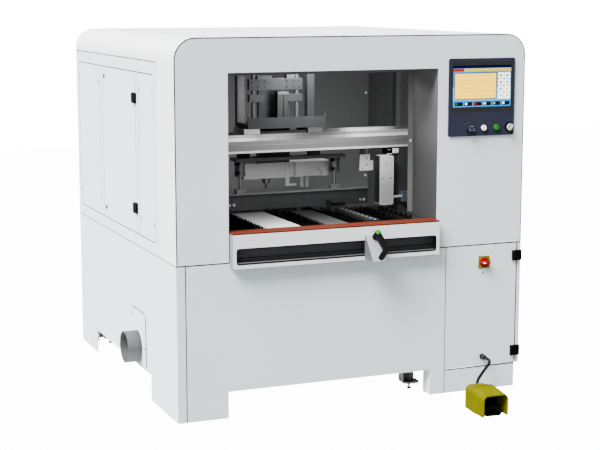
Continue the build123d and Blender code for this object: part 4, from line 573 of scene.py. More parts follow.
area_lamp("hood_lamp", LAMP_PLACE, LAMP_SIZE, LAMP_ENERGY,
          Vector(LAMP_WAY).to_track_quat("-Z", "X").to_euler())
area_lamp("floor_glow", GLOW_PLACE, GLOW_SIZE, GLOW_ENERGY, (math.pi, 0, 0))


# Painting CAD nodes: a rule picks faces by their centre, in machine coordinates, and their normal
def under(limit):
    return -math.inf, limit


def over(limit):
    return limit, math.inf


ANY = (-math.inf, math.inf)
MINUS, ACROSS, PLUS = under(-0.5), (-0.5, 0.5), over(0.5)


def where(x=ANY, y=ANY, z=ANY, nx=ANY, ny=ANY, nz=ANY):
    """A rule that picks the faces whose centre and normal lie between these limits."""
    limits = (x, y, z, nx, ny, nz)
    return lambda *face: all(low < v < high for v, (low, high) in zip(face, limits))


def any_of(*rules):
    return lambda *face: any(rule(*face) for rule in rules)


def all_of(*rules):
    return lambda *face: all(rule(*face) for rule in rules)


def paint(node, base, *rules):
    """Gives a node its material, and another to the faces that a rule picks."""
    mesh = nodes[node].data
    mesh.materials.clear()
    for mat in (base, *(mat for mat, _ in rules)):
        mesh.materials.append(mat)
    for face in mesh.polygons:
        c = face.center
        facts = (c.x * 1000 + ORIGIN_X, c.y * 1000 + ORIGIN_Y, c.z * 1000, *face.normal)
        face.material_index = next((i for i, (_, rule) in enumerate(rules, 1) if rule(*facts)), 0)


SKIN, SKIN_EDGE, WALL = 0.5, 0.3, 3


def inside_roof(x, y, z, *normal):
    """True for a face of the roof or hood that isn't on the outer skin."""
    reach = min(x, BODY_W - x)
    if z > BODY_H - CORNER_R and reach < CORNER_R:
        return math.hypot(CORNER_R - reach, z - BODY_H + CORNER_R) < CORNER_R - 2 * SKIN
    return reach > SKIN and z < BODY_H - SKIN


# Nodes of one material
PLAIN = {
    "hinge_fixed_leaves": HINGE, "side_door_leaves": HINGE, "cabinet_door_leaves": HINGE,
    "switch_plate": YELLOW, "switch_handle": RED, "console_panel": NAVY, "touch_screen": GLASS,
    "white_button": PALE, "green_button": GREEN, "slide_strip": STRIP, "clamp_lever": BLACK,
    "table_deck": DARK, "table_brushes": BRISTLE, "guide_studs": STUD, "gripper_rail": DARK,
    "panel_gripper": HEAD, "gantry_uprights": FRAME, "gantry_rails": RAIL_HIGHLIGHT, "spindle_motor": MOTOR,
    "tool_spindle": TOOL, "presser_cylinders": CYLINDER, "pusher_cylinder": BLUE_GREY,
    "foot_switch_base": RUBBER, "treadle": RUBBER}
for name, material in PLAIN.items():
    paint(name, material)

# Base: the panels are grey in front and dark inside, both painted shade. The frame below its top rails is
# pale and the left feet are white, painted light where shade falls under the machine, and the other brackets'
# tops are black, a painted shadow.
BASE_PANELS = ("base_left_panel", "base_front_panel", "base_rear_panel", "base_right_panel",
               "plinth_panels", "electrical_cabinet", "cabinet_door")
FRAME_DARK_Z, LEFT_FEET_X, CABINET_POST_X = 300, 200, 1034
SHELF_TOP, PAD_TOP, NUT_Z = 36, 6.5, 34
inside_base = any_of(where(x=under(WALL), nx=PLUS), where(x=over(BODY_W - WALL), nx=MINUS),
                     where(x=under(CABINET_POST_X), y=under(WALL), ny=PLUS),
                     where(y=over(BODY_D - WALL), ny=MINUS))
for name in BASE_PANELS:
    paint(name, WHITE, (FRONT_SHADE, where(y=under(2 * SKIN), ny=MINUS)), (INNER_SHADE, inside_base))
paint("base_frame", PALE, (FRAME, where(z=over(FRAME_DARK_Z))))
paint("levelling_brackets", CARRIER, (WHITE, where(x=under(LEFT_FEET_X))), (STUD, where(nz=PLUS)),
      (BRACKET, where(z=under(SHELF_TOP))))
paint("levelling_feet", ZINC, (STUD, where(x=over(LEFT_FEET_X), z=under(PAD_TOP))),
      (FRAME, where(x=over(LEFT_FEET_X), z=over(NUT_Z))))

# Dust spigot: a white flange with a grey rim, a painted shadow, and a tube with painted light and shade:
# outside lighter low down where the floor would light it and darker towards the flange, inside lighter
# towards the top
SPIGOT_RISE, FLANGE_X, FLANGE_R = 72, -3, 66
SPIGOT_Y, SPIGOT_Z = middle("dust_spigot")[1], span("dust_spigot")[0][2] + SPIGOT_RISE


def on_flange(x, y, z, *normal):
    return math.hypot(y - SPIGOT_Y, z - SPIGOT_Z) > FLANGE_R


def outward(x, y, z, nx, ny, nz):
    return (y - SPIGOT_Y) * ny + (z - SPIGOT_Z) * nz > 0


paint("dust_spigot", DUCT, (WHITE, all_of(where(x=over(FLANGE_X - 0.1), nx=MINUS), on_flange)),
      (LINE_SHADE, all_of(where(x=over(FLANGE_X)), on_flange)),
      (DUCT_OUTER, all_of(where(nx=ACROSS), outward)), (DUCT_INNER, where(nx=ACROSS)))

# Cabinet: devices on two rails with a slotted wiring duct between them
DEVICE_BACK, WIRING_BACK, WIRING_Z = 268, 330, (300, 400)
GLAND_NUT_Y = -9.5
devices = any_of(where(y=under(DEVICE_BACK), z=under(WIRING_Z[0])),
                 where(y=under(DEVICE_BACK), z=over(WIRING_Z[1])))
paint("switchgear", ZINC, (DEVICE, devices), (SLOTTED, where(y=under(WIRING_BACK), z=WIRING_Z)))
# The gland's dome is painted grey against its black nut, a painted highlight on its lit side
paint("cable_gland", BLACK, (GUIDE, where(y=under(GLAND_NUT_Y), ny=ACROSS)))

# Upper body: black in the gaps between panels, a painted shadow, and grey inside, a painted shade for its dim
# inside
REVEAL_FLANGE_Y = 180
for name in ("left_side_frame", "fixed_side_panels", "side_door"):
    paint(name, WHITE, (SHADED_GREY, where(nx=PLUS)), (GAP_SHADOW, where(x=over(SKIN_EDGE))))
paint("right_side_panel", WHITE, (INNER_SHADE, where(x=under(BODY_W - SKIN_EDGE))))
paint("rear_panel", WHITE, (SHADED_GREY, where(y=under(BODY_D - SKIN_EDGE))))
paint("roof_skin", ROOF_LIT, (SHADED_GREY, inside_roof))
paint("hood_shell", ROOF_LIT, (FRONT_SHADE, where(y=under(SKIN), ny=MINUS)), (GAP_SHADOW, where(y=over(SKIN), ny=MINUS)),
      (SHADED_GREY, all_of(inside_roof, where(y=over(SKIN)))))
paint("front_panel", FRONT_SHADE, (SHADED_GREY, where(ny=PLUS)), (GAP_SHADOW, where(y=over(SKIN_EDGE))))
# The reveal's grey is painted shade: dark low down, lighter towards the top
paint("opening_reveal", REVEAL_SHADING, (FLANGE, where(y=over(REVEAL_FLANGE_Y), ny=MINUS)))

# Controls
SELECTOR_BEZEL_X = 1335
paint("button_bezels", NAVY, (BEZEL, where(x=over(SELECTOR_BEZEL_X))))
# The button's sides are painted a darker navy, a painted shade
paint("estop_button", NAVY, (NAVY_SHADE, where(ny=over(-0.7))))
paint("selector_knob", KNOB, (BEZEL, where(ny=over(-0.5))))

# Front bar with its guide rail, and the clamp: the bar's left end face is painted a darker grey and its
# inside faces dark, both painted shade
GUIDE_Y, GUIDE_Z = (-14.5, -1.5), (589, 603)
bar_x, bar_y, bar_z = ((low + SKIN, high - SKIN) for low, high in zip(*span("front_bar")))
paint("front_bar", BAR_WHITE, (BAR_END_SHADE, where(x=under(bar_x[0]), nx=MINUS)),
      (GUIDE, where(y=GUIDE_Y, z=GUIDE_Z)), (DARK, where(x=bar_x, y=over(bar_y[0]), z=bar_z)))
# The clamp bracket's sides are painted a darker grey than its face, a painted shade
paint("clamp_bracket", CLAMP_FACE, (CLAMP_SIDE_SHADE, any_of(where(nx=MINUS), where(nx=PLUS))))

# Table slats: two bright ones, two grey ones and a dark one at the right. The bright and grey ones are
# painted lighter at the front and darker towards the back, painted light and shade.
GREY_SLAT_X, DARK_SLAT_X = 520, 940
paint("table_slats", SLAT, (DARK, where(x=over(DARK_SLAT_X))), (SLAT_GREY, where(x=over(GREY_SLAT_X))))

# Gantry and head
BEAM_TOP = span("gantry_beam")[1][2]
FEET_TOP, RIGHT_FOOT_X = 1040.5, 560
LIFT_X, LIFT_Y = (559, 605), (419, 455)
COLUMN_X1, COLUMN_Z0 = 690, 1090
SLIDE_FOOT_Z, SLIDE_TOP_Z = 889, 1226.5
PATCH_X0, PATCH_Y, PATCH_Z = 913, (404, 409.5), (847, 914.5)
HANGER_Z, LEFT_HANGER_X, RIGHT_HANGER_X, SENSOR_X = 919.5, 440, 760, 995
ROD_Z, CROSSHEAD_Z = 793.5, 769
PUSHER_SHADE_Z = 780
# The beam's tones are painted light: a painted highlight on its lower lip and lighter ends, a painted
# reflection along its top chamfer, and a painted highlight streak on its top and rails towards the right
paint("gantry_beam", BEAM_HIGHLIGHTS, (EDGE_REFLECTION, where(ny=under(-0.1), nz=over(0.1))),
      (RAIL_HIGHLIGHT, where(z=over(BEAM_TOP - 1), nz=over(0.9))))
paint("head_carriage", HEAD, (CARRIER, where(x=over(RIGHT_FOOT_X), z=under(FEET_TOP))),
      (LIGHT, where(z=under(FEET_TOP))), (LIFT, where(x=LIFT_X, y=LIFT_Y)),
      (COLUMN, where(x=under(COLUMN_X1), z=over(COLUMN_Z0))))
paint("tool_slide", HEAD, (LIGHT, where(z=under(SLIDE_FOOT_Z))), (CARRIER, where(z=over(SLIDE_TOP_Z))))
paint("presser_carrier", CARRIER, (PALE, where(x=over(PATCH_X0), y=PATCH_Y, z=PATCH_Z)),
      (BLACK, any_of(where(x=over(SENSOR_X)), where(x=under(LEFT_HANGER_X), z=over(HANGER_Z)))),
      (DARK, where(x=under(RIGHT_HANGER_X), z=over(HANGER_Z))))
paint("presser_bar", PRESSER, (BRIGHT, where(z=over(ROD_Z))), (FLANGE, where(z=over(CROSSHEAD_Z))))
# The pusher plate is painted lighter towards its top, a painted highlight, and its upper left side and back
# faces dark, a painted shade
paint("side_pusher", PLATE_HIGHLIGHT, (DARK, any_of(where(z=over(PUSHER_SHADE_Z), nx=MINUS), where(ny=PLUS))))

# Foot switch guard, with a brighter rim in front, a painted highlight
GUARD_RIM_Y = -355
paint("foot_switch_guard", PEDAL, (PEDAL_RIM_LIT, where(y=under(GUARD_RIM_Y), ny=MINUS)))

# Brush table
BRUSH_SPANS = ((210, 370), (518, 611), (715, 768), (855, 950))
_, BRUSH_Y, (BRUSH_FOOT, _) = zip(*span("table_brushes"))
BRUSH_BACK, BRUSH_TIP, TIP_SPREAD = 662, 701, 1.5
ROW_PITCH, COLUMN_PITCH, BRUSH_EDGE, ROW_STAGGER = 19, 14, 3.5, 0.25
BRISTLES_EACH, TUFT_R, LEAN_X, LEAN_Y = 10, (0.3, 2.2), 0.8, 1.5
BRISTLE_FOOT_R, BRISTLE_TIP_R, BRISTLE_TURNS = 1.1, 0.7, (0, 2.1, 4.2)


def triangle(piece, centre, radius, turn):
    return [piece.bm.verts.new(centre + Vector((math.cos(turn + t), math.sin(turn + t), 0)) * radius)
            for t in BRISTLE_TURNS]


def tuft(piece, cx, cy):
    """A bundle of tapered bristles with a common lean."""
    lean = Vector((rng.uniform(-LEAN_X, LEAN_X), rng.uniform(-LEAN_Y, LEAN_Y), 0))
    for _ in range(BRISTLES_EACH):
        a, out = rng.uniform(0, 2 * math.pi), rng.uniform(*TUFT_R)
        foot = Vector((cx + out * math.cos(a), cy + out * math.sin(a), BRUSH_BACK - 1))
        tip = foot + lean
        tip.z = BRUSH_TIP - rng.uniform(0, TIP_SPREAD)
        low = triangle(piece, foot, BRISTLE_FOOT_R, a)
        piece.skin([low, triangle(piece, tip, BRISTLE_TIP_R, a)], 0)


def bristles():
    """Strips of tufts in staggered rows, each strip on a backing."""
    piece = Piece("table_bristles", BRISTLE, slot="bristle_black")
    depth = BRUSH_Y[1] - BRUSH_Y[0]
    for x0, x1 in BRUSH_SPANS:
        piece.box((x0, x1), BRUSH_Y, (BRUSH_FOOT, BRUSH_BACK), bevel=1)
        width = x1 - x0 - 2 * BRUSH_EDGE
        columns, rows = round(width / COLUMN_PITCH), int(depth / ROW_PITCH)
        for i in range(columns + 1):
            for j in range(rows):
                row = j + 0.5 + ROW_STAGGER * (i % 2)
                tuft(piece, x0 + BRUSH_EDGE + i * width / columns,
                     BRUSH_Y[0] + row * depth / (rows + ROW_STAGGER))
    return piece.done()


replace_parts(bristles(), "table_brushes")


# Panel seams: beads on the body's faces, a painted shadow for the gaps between panels, black where a gap is
# open and grey where it is shut
def arch(inset, foot, steps=10):
    """The body's front outline, drawn in by inset, from the lower left to the lower right."""
    r, shoulder = CORNER_R - inset, BODY_H - CORNER_R
    return [(inset, foot), *arc((CORNER_R, shoulder), r, 180, 90, steps),
            *arc((BODY_W - CORNER_R, shoulder), r, 90, 0, steps), (BODY_W - inset, foot)]


OPEN, SHUT = range(2)
FRONT_RISE, SIDE_RISE = 0.15, 0.12
ARCH_INSET, ARCH_FOOT, ARCH_W = 2.6, 588.5, 4.2
FRONT_SEAMS = (
    ((34.6, 2), (34.6, 584.5), 3.6, OPEN),
    ((0.5, BASE_SEAM), (OPENING_X0, BASE_SEAM), 4.4, OPEN),
    ((OPENING_X1, BASE_SEAM), (BODY_W - 0.5, BASE_SEAM), 4.4, OPEN),
    ((1100, 93.8), (1411, 93.8), 4.6, OPEN),
    ((1414.2, 97), (1414.2, 583.5), 4, OPEN),
    ((1097.6, 1), (1096.8, 583.5), 3, SHUT))
SIDE_ROWS = (
    (1264, 254, 1388, OPEN), (633, 254, 1388, OPEN),
    (1312.6, 211, 1433, OPEN), (BASE_SEAM, 1, 1433, SHUT))
PANEL_RUN = ((634, 1263),)
HINGE_RUNS = ((634, 712), (756, 1141), (1185, 1263))
SIDE_COLUMNS = ((252.8, PANEL_RUN), (459.3, PANEL_RUN), (498.6, HINGE_RUNS), (991.4, PANEL_RUN),
                (1038.6, PANEL_RUN), (1389.4, PANEL_RUN))
SIDE_ROW_W, SIDE_COLUMN_W, FLANGE_SEAM_W = 3.6, 2.6, 3.2
HOOD_SEAM_Y, HOOD_SEAM_FOOT, HOOD_ARC = HOOD_D + 0.2, 588, (180, 94, 12)
FLANGE_SEAM = ((400.4, 112), (400.4, 304), (406, 319), (421, 326.6), (600, 326.6))
REAR_SEAM_Z, REAR_SEAM_IN, REAR_SEAM_END = (BASE_SEAM - 0.9, BASE_SEAM + 0.9), (1.4, 0.2), 1

seams = Piece("panel_seams", GAP_SHADOW, LINE_SHADE)
seams.sweep(on_front(0, arch(ARCH_INSET, ARCH_FOOT)), -Y, ARCH_W, FRONT_RISE)
for start, end, width, kind in FRONT_SEAMS:
    seams.sweep(on_front(0, (start, end)), -Y, width, FRONT_RISE, mat=kind)
for z, y0, y1, kind in SIDE_ROWS:
    seams.sweep(on_left(0, ((y0, z), (y1, z))), -X, SIDE_ROW_W, SIDE_RISE, mat=kind)
for y, runs in SIDE_COLUMNS:
    for run in runs:
        seams.sweep([(0, y, z) for z in run], -X, SIDE_COLUMN_W, SIDE_RISE, mat=SHUT)
hood_line = [(0, HOOD_SEAM_FOOT), *arc((CORNER_R, BODY_H - CORNER_R), CORNER_R, *HOOD_ARC)]
hood_out = [(-1, 0), *arc((0, 0), 1, *HOOD_ARC)]
seams.sweep(on_front(HOOD_SEAM_Y, hood_line), on_front(0, hood_out), SIDE_COLUMN_W, SIDE_RISE, mat=SHUT)
seams.sweep(on_left(0, FLANGE_SEAM), -X, FLANGE_SEAM_W, SIDE_RISE, mat=SHUT)
seams.box([BODY_W - v for v in REAR_SEAM_IN], (REAR_SEAM_END, BODY_D - REAR_SEAM_END), REAR_SEAM_Z)
seams.box((REAR_SEAM_END, BODY_W - REAR_SEAM_END), [BODY_D - v for v in REAR_SEAM_IN], REAR_SEAM_Z)
seams.done()

# Folds and screws inside the right and rear walls: a light strip, a painted highlight on a fold, a dark line,
# a painted shadow beside it, and pale screws, painted glints
FOLD_X, FOLD_Z, FOLD_RISE = 1429.9, (700, 1290), 1.2
FOLD_HIGHLIGHT, FOLD_SHADOW, GLINT_SCREW = range(3)
FOLDS = ((1107, 48, FOLD_HIGHLIGHT), (1149, 34, FOLD_SHADOW))
FOLD_SCREWS = ((1415, 1431.9, 1089), (1415, 1431.9, 689))
folds = Piece("wall_folds", FLANGE, FRAME, PALE, slot="body_white")
for y, width, kind in FOLDS:
    folds.sweep([(FOLD_X, y, z) for z in FOLD_Z], -X, width, FOLD_RISE, mat=kind)
for centre in FOLD_SCREWS:
    folds.screw(centre, -Y, radius=6, height=2, mat=GLINT_SCREW)
folds.done()

# Ring at the spigot's foot, and the start of the ribbed hose behind it
RING_R, RING_W, RING_RISE, RING_STEPS = 64.8, 4.2, 2.4, 48
HOSE_X, HOSE_L, HOSE_RIB, HOSE_RIBS, HOSE_STEPS = 2.1, 190, 8, 24, 40
HOSE_INNER_R, HOSE_RIB_DEPTH, HOSE_OUTER_R, HOSE_END_R, HOSE_END = 60, 2.5, 62, 54, 4
ring_line = arc((SPIGOT_Y, SPIGOT_Z), RING_R, 0, 360, RING_STEPS)[:-1]
ring = Piece("spigot_ring", WHITE, slot="duct_grey")
ring.sweep(on_left(FLANGE_X, ring_line), -X, RING_W, RING_RISE, closed=True).done()

hose_ribs = [(HOSE_INNER_R - HOSE_RIB_DEPTH * (k % 2), HOSE_L - HOSE_RIB * k) for k in range(HOSE_RIBS)]
hose_wall = [(HOSE_END_R, HOSE_L), *hose_ribs, (HOSE_OUTER_R, 0), (HOSE_OUTER_R, HOSE_L + HOSE_END)]
hose = Piece("spigot_hose", STUD, slot="duct_grey")
hose.lathe((HOSE_X, SPIGOT_Y, SPIGOT_Z), X, hose_wall, HOSE_STEPS).done()


# Screws of the side panels and the flange, and the side door's locks
def dark_screws(name, body, centres, out, radius, height):
    """A piece that holds dark screws of one size."""
    piece = Piece(name, DARK, body=body, slot="steel")
    for centre in centres:
        piece.screw(centre, out, radius, height)
    piece.done()


SIDE_SCREWS = ((268, 1196), (443, 1198), (265, 701), (444, 701), (1050, 1197), (1040, 703), (1376, 1198),
               (1376, 703))
FLANGE_SCREWS = ((410, 189), (590, 295))
panel_screws = on_left(0, SIDE_SCREWS) + on_left(FLANGE_X, FLANGE_SCREWS)
dark_screws("panel_screws", "machine", panel_screws, -X, radius=5, height=1.6)

LOCKS = ((957, 1222), (954, 676))
LOCK_RIM = ((9, 0), (9, 2), (7.6, 3.2), (5.4, 3.2))
LOCK_KEY = ((4.4, 0), (4, 1.2), (2.4, 1.4))
locks = Piece("door_locks", BLACK, body="side_door", slot="steel")
for y, z in LOCKS:
    locks.lathe((0, y, z), -X, LOCK_RIM, steps=30)
    locks.lathe((-LOCK_RIM[-1][1], y, z), -X, LOCK_KEY, steps=6)
locks.done()

# Screen: tiles of light in layers on the glass
TILES = {"sky": ((40, 150, 232), 1.7), "cloud": ((238, 240, 240), 4), "board": ((255, 204, 36), 3.4),
         "grain": ((250, 160, 24), 2.2), "lemon": ((255, 238, 0), 1.4), "leaf": ((40, 150, 16), 0.9),
         "brick": ((236, 24, 6), 1), "night": ((2, 2, 70), 1), "coal": ((24, 26, 32), 1),
         "mist": ((110, 200, 246), 2)}
SCREEN_Y, FRAME_LIFT, TOP_LIFT, GRAIN_LIFT = -5.55, 0.06, 0.1, 0.13
IMAGE_X, IMAGE_Z, TITLE_Z = (1113.5, 1366.5), (1128.5, 1286.5), (1265, 1276)
BACKGROUND = (
    (IMAGE_X, IMAGE_Z, "sky", 0), (IMAGE_X, (1154, 1206), "mist", 0.03),
    (IMAGE_X, (1277, IMAGE_Z[1]), "night", 0.05), ((IMAGE_X[0], 1160), TITLE_Z, "brick", 0.05),
    ((1162, IMAGE_X[1]), TITLE_Z, "lemon", 0.05), ((1119, 1304), (1158, 1260), "coal", FRAME_LIFT),
    ((1122, 1301), (1161, 1257), "board", TOP_LIFT))
GRAIN_X, GRAIN_Z, GRAIN_H = (1124, 1299), range(1170, 1246, 15), 1.6
GRAIN_IN, GRAIN_UP = (9, 14), 3
ICONS_X, ICONS_Z, ICON_W, ICON_H = (1310, 1338), range(1236, 1157, -26), 25, 23
ICON_MARK_X, ICON_MARK_Z = (8, 17), (7, 16)
ICON_COLOURS = (("leaf", "brick"), ("brick", "sky"), ("sky", "lemon"), ("lemon", "lemon"))
KEYS_X, KEY_W, KEY_Z = range(1122, 1328, 41), 35, (1133, 1148)
LAMP_X, LAMP_Z = (4, 12), (1137, 1145)
LAMP_COLOURS = ("leaf", "cloud", "brick", "cloud", "lemon", "cloud")
tile_names = list(TILES)
screen = Piece("screen_image", *(lit("tile_" + k, *v) for k, v in TILES.items()), slot="screen")


def tile(x, z, colour, lift):
    """A tile between two places across and two up, in front of the glass by its lift."""
    corners = ((x[0], z[0]), (x[1], z[0]), (x[1], z[1]), (x[0], z[1]))
    screen.tile(on_front(SCREEN_Y - lift, corners), tile_names.index(colour))


for row in BACKGROUND:
    tile(*row)
for i, z in enumerate(GRAIN_Z):
    x = (GRAIN_X[0] + GRAIN_IN[0] * (i % 3), GRAIN_X[1] - GRAIN_IN[1] * (i % 2))
    z += GRAIN_UP * (i % 2)
    tile(x, (z, z + GRAIN_H), "grain", GRAIN_LIFT)
for z, colours in zip(ICONS_Z, ICON_COLOURS):
    for x, colour in zip(ICONS_X, colours):
        tile((x, x + ICON_W), (z, z + ICON_H), "cloud", FRAME_LIFT)
        tile([x + v for v in ICON_MARK_X], [z + v for v in ICON_MARK_Z], colour, TOP_LIFT)
for x, colour in zip(KEYS_X, LAMP_COLOURS):
    tile((x, x + KEY_W), KEY_Z, "coal", FRAME_LIFT)
    tile([x + v for v in LAMP_X], LAMP_Z, colour, TOP_LIFT)
screen.done()

# Screen border and the marks on the controls
CONSOLE_Y = span("console_panel")[0][1]
BORDER_X, BORDER_SIDES, BORDER_SIDE_Z = (1106, 1374), (1109, 1371), (1126.6, 1288.4)
BORDER_ROWS, BORDER_SIDE_W, BORDER_RISE = ((1295.5, 14), (1117.5, 18)), 5.6, 0.2
border = Piece("screen_border", BORDER, slot="bezel")
for z, width in BORDER_ROWS:
    border.sweep([(x, CONSOLE_Y, z) for x in BORDER_X], -Y, width, BORDER_RISE)
for x in BORDER_SIDES:
    border.sweep([(x, CONSOLE_Y, z) for z in BORDER_SIDE_Z], -Y, BORDER_SIDE_W, BORDER_RISE)
border.done()

STOP_X, _, STOP_Z = middle("estop_button")
STOP_ARC, STOP_ARC_W = (23, 150, 54, 12), 1.6
marks = Piece("console_marks", MARK)
marks.sweep(on_front(CONSOLE_Y, arc((STOP_X, STOP_Z), *STOP_ARC)), -Y, STOP_ARC_W, BORDER_RISE).done()

MARK_RISE = 0.15
STOP_FACE, STOP_MARK_R, STOP_MARK_HALF, STOP_MARK_W = span("estop_button")[0][1], 9.5, 5, 1.5
arrows = Piece("stop_marks", LIGHT, body="emergency_stop", slot="button_white")
for a in (math.radians(90 - 120 * k) for k in range(3)):
    mid = Vector((STOP_X + STOP_MARK_R * math.cos(a), STOP_FACE, STOP_Z + STOP_MARK_R * math.sin(a)))
    run = Vector((-math.sin(a), 0, math.cos(a)))
    arrows.sweep([mid - run * STOP_MARK_HALF, mid + run * STOP_MARK_HALF], -Y, STOP_MARK_W, MARK_RISE)
arrows.done()

SELECTOR_FACE, SELECTOR_MARK, SELECTOR_MARK_W = -23.3, ((1354, 1053), (1366, 1041)), 1.8
pointer = Piece("selector_mark", DARK, body="selector", slot="knob_grey")
pointer.sweep(on_front(SELECTOR_FACE, SELECTOR_MARK), -Y, SELECTOR_MARK_W, MARK_RISE).done()

# Main switch: a dark line round its plate, a screw under it and a pointer on its handle
SWITCH_X, _, SWITCH_Z = middle("switch_plate")
SWITCH_PLATE_Y, SWITCH_FACE = span("switch_plate")[0][1], span("switch_handle")[0][1]
SURROUND_HALF, SURROUND_W, SURROUND_RISE = 23, 1.6, 0.3
DOOR_SCREW = (1263, 0, 473)
surround = Piece("switch_surround", BLACK, body="cabinet_door", slot="hinge_black")
surround.sweep([(SWITCH_X + sx * SURROUND_HALF, SWITCH_PLATE_Y, SWITCH_Z + sz * SURROUND_HALF)
                for sx, sz in SQUARE], -Y, SURROUND_W, SURROUND_RISE, closed=True)
surround.screw(DOOR_SCREW, -Y, radius=3.6, height=1.6).done()

TICK_X, TICK_W = (1249.5, 1262), 5
tick = Piece("switch_pointer", PALE, body="main_switch", slot="button_white")
tick.sweep([(x, SWITCH_FACE, SWITCH_Z) for x in TICK_X], -Y, TICK_W, MARK_RISE).done()

# Clamp lever's cap
LEVER_SEAT, LEVER_OUT, CAP_HEIGHT = Vector((765, -50.58, 652)), Vector((0, -0.78789, 0.61582)), 41.3
CAP = ((9.4, 0), (9.4, 1.4), (8.2, 2.8), (5, 3.6), (1.5, 3.9))
cap = Piece("lever_cap", CAP_GREEN, body="clamp_lever")
cap.lathe(LEVER_SEAT + LEVER_OUT * CAP_HEIGHT, LEVER_OUT, CAP, steps=30).done()


# Front bar's slot: a trim round it, a lip below and a dark sheet behind, painted shade for the slot. The
# lip's top is grey and its face below black, a painted shade in the slot.
def rounded(x0, x1, z0, z1, r, steps=6):
    """The outline of a rectangle with rounded corners, anticlockwise seen from the front."""
    centres = ((x1 - r, z1 - r), (x0 + r, z1 - r), (x0 + r, z0 + r), (x1 - r, z0 + r))
    return [p for k, centre in enumerate(centres) for p in arc(centre, r, 90 * k, 90 * k + 90, steps)]


BAR_FACE = span("front_bar")[0][1]
TRIM_OUTLINE, TRIM_W = rounded(220.4, 1033.6, 583.9, 641.1, 8.1), 3.4
TRIM_LAYERS = ((BAR_FACE, 0.4), (-33.4, 2.8))
LINER_BOX = (208, 1046), (-1.2, -0.3), (571, 690)
LIP_X, LIP_Y, LIP_TOP_Z, LIP_FACE_Z = (222, 1032), (-32.9, -31), (587.2, 590), (573, 587.2)
THIN_BEVEL = 0.3
trim = Piece("slot_trim", BLACK, slot="lever_black")
for y, rise in TRIM_LAYERS:
    trim.sweep(on_front(y, TRIM_OUTLINE), -Y, TRIM_W, rise, closed=True)
trim.done()
Piece("slot_shade_sheet", SLOT_SHADE, slot="dark_metal").box(*LINER_BOX, THIN_BEVEL).done()
lip = Piece("slot_lip", SHADED_GREY, BLACK, slot="dark_metal")
lip.box(LIP_X, LIP_Y, LIP_TOP_Z, THIN_BEVEL).box(LIP_X, LIP_Y, LIP_FACE_Z, mat=1).done()

# Hinge covers on the fixed and moving leaves
SIDE_HINGES_Z, CABINET_HINGES_Z = (734, 1163), (147, 534)
COVER_OUT, COVER_HALF, COVER_BEVEL = (-11.5, -4.6), 20.3, 1.5
HINGE_COVERS = (
    ("side_hinge_covers", "machine", COVER_OUT, (480.8, 490.6), SIDE_HINGES_Z),
    ("side_door_covers", "side_door", COVER_OUT, (510.6, 520.4), SIDE_HINGES_Z),
    ("cabinet_hinge_covers", "machine", (1422, 1431.6), COVER_OUT, CABINET_HINGES_Z),
    ("cabinet_door_covers", "cabinet_door", (1392.2, 1402), COVER_OUT, CABINET_HINGES_Z))
for name, body, x, y, heights in HINGE_COVERS:
    covers = Piece(name, HINGE, body=body, slot="hinge_black")
    for z in heights:
        covers.box(x, y, (z - COVER_HALF, z + COVER_HALF), COVER_BEVEL)
    covers.done()

# Air fittings on the presser's cylinders, and the sensor and screws beside them
METAL, PLUG, TAG, SCREW = range(4)
FITTING_X, FITTING_Z, FITTING_Y = (401, 809), (894, 858), 430.5
FITTING = ((6.5, 0), (6.5, 6), (5, 7), (5, 13), (4, 14))
ELBOW_Y, ELBOW_RISE = 421, 2
ELBOW = ((4.6, 0), (4.6, 9), (6, 10), (6, 18), (4.5, 19))
SENSOR_BOX = (1024, 1049), (327, 334), (923, 943)
SENSOR_LABEL = (1001, 1022), (331.5, 334), (919.4, 922.4)
SENSOR_LEDS, LED_Z, LED = (1006, 1014), 938, ((1.6, 0), (1.4, 0.8), (0.8, 1))
PATCH_SCREWS, PATCH_SCREW_Y = ((944, 897), (944, 872), (924, 857)), 405
END_SCREW = (1041, 206, 985)
fittings = Piece("air_fittings", CYLINDER, BLACK, PALE, DARK)
for x in FITTING_X:
    for z in FITTING_Z:
        fittings.lathe((x, FITTING_Y, z), -Y, FITTING, steps=20, mat=METAL)
        fittings.lathe((x, ELBOW_Y, z + ELBOW_RISE), -X, ELBOW, steps=18, mat=PLUG)
fittings.box(*SENSOR_BOX, bevel=1.5, mat=TAG).box(*SENSOR_LABEL, bevel=0.6, mat=TAG)
for x in SENSOR_LEDS:
    fittings.lathe((x, SENSOR_BOX[1][1], LED_Z), -Y, LED, steps=12, mat=TAG)
for centre in on_front(PATCH_SCREW_Y, PATCH_SCREWS):
    fittings.screw(centre, -Y, radius=3, height=1.4, mat=SCREW)
fittings.screw(END_SCREW, -Y, radius=4.5, height=2, mat=TAG)
fittings.done()

# Cover in the beam's slot
COVER_BOX = (41, 1399), (330.3, 334), (971.8, 979.2)
Piece("beam_slot_cover", BEAM_HIGHLIGHTS, slot="beam_aluminium").box(*COVER_BOX, THIN_BEVEL).done()

# Screws and bolts on the gripper's rail, the pusher, the presser bar and the tool slide
RAIL_SCREW_X, RAIL_SCREWS_Y = 818, range(60, 403, 38)
RAIL_SCREW = ((5.4, 0), (5, 0.15), (2.6, 0.15), (2.4, 0.05))
RAIL_TOP = span("gripper_rail")[1][2]
rail_screws = Piece("gripper_rail_screws", LIGHT, slot="steel")
for y in RAIL_SCREWS_Y:
    rail_screws.lathe((RAIL_SCREW_X, y, RAIL_TOP), Z, RAIL_SCREW, steps=20)
rail_screws.done()

PUSHER_SCREWS = on_front(span("side_pusher")[0][1], ((982, 881), (1003, 826), (963, 826)))
dark_screws("pusher_screws", "pusher", PUSHER_SCREWS, -Y, radius=2.8, height=1.2)

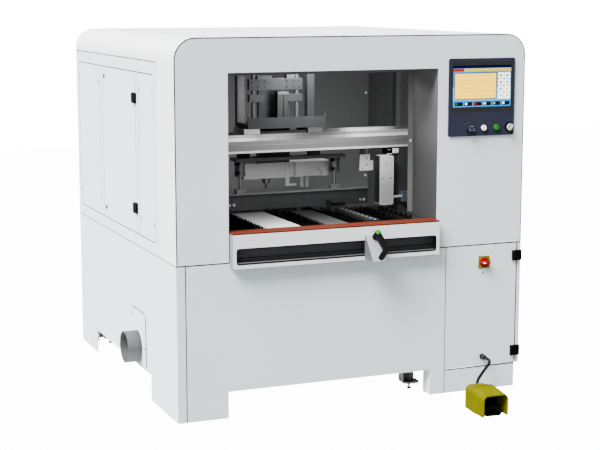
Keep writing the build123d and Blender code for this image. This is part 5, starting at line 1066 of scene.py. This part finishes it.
BOLT_FACE, PRESSER_BOLTS, BOLT_SCREW_GAP = 442, ((380, 731), (948, 724)), 16
BOLT_HEAD = ((6.5, 0), (6.5, 4.5), (5.6, 5.2), (4, 5.2))
bar_bolts = Piece("presser_bolts", LIGHT, body="presser", slot="steel")
for x, z in PRESSER_BOLTS:
    bar_bolts.lathe((x, BOLT_FACE, z), -Y, BOLT_HEAD, steps=6)
    bar_bolts.screw((x - BOLT_SCREW_GAP, BOLT_FACE, z), -Y, radius=5, height=3)
bar_bolts.done()

SLIDE_BOLTS_X, SLIDE_BOLTS_Z = (468, 492, 522, 614, 644, 668), (1192, 1216)
slide_bolts = [(x, span("tool_slide")[0][1], z) for x in SLIDE_BOLTS_X for z in SLIDE_BOLTS_Z]
dark_screws("slide_bolts", "tool_slide", slide_bolts, -Y, radius=3.4, height=2)

# Foot switch: the seam round its guard and the ribs on its treadle
PEDAL_X = middle("foot_switch_guard")[0]
GUARD_HALF, GUARD_R, GUARD_SIDE_Z, GUARD_FOOT = 50.3, 22, 74.3, 1
GUARD_SEAM_Y, GUARD_SEAM_W, GUARD_SEAM_L = -267, 1.6, 7
guard_x0 = PEDAL_X - GUARD_HALF
outline = [(guard_x0, GUARD_FOOT), *arc((guard_x0 + GUARD_R, GUARD_SIDE_Z), GUARD_R, 180, 90, 10)]
outline += [(2 * PEDAL_X - x, z) for x, z in outline[::-1]]
seam_line = Piece("pedal_seam", PEDAL_SEAM, slot="pedal_yellow")
seam_line.sweep(on_front(GUARD_SEAM_Y, outline), Y, GUARD_SEAM_W, GUARD_SEAM_L).done()

RIBS_Y, RIB_HALF_L, RIB_HALF_W = range(-338, -289, 8), 25, 1.5
RIB_FOOT, RIB_RISE, RIB_BEVEL = 0.6, 1, 0.4
TREADLE_TOP, TREADLE_PIN_Y, TREADLE_SLOPE = 48, -279, (14, 66)
grip = Piece("treadle_ribs", RUBBER, body="treadle", slot="pedal_black")
for y in RIBS_Y:
    z = TREADLE_TOP - TREADLE_SLOPE[0] * (TREADLE_PIN_Y - y) / TREADLE_SLOPE[1]
    grip.box((PEDAL_X - RIB_HALF_L, PEDAL_X + RIB_HALF_L), (y - RIB_HALF_W, y + RIB_HALF_W),
             (z - RIB_FOOT, z + RIB_RISE), RIB_BEVEL)
grip.done()
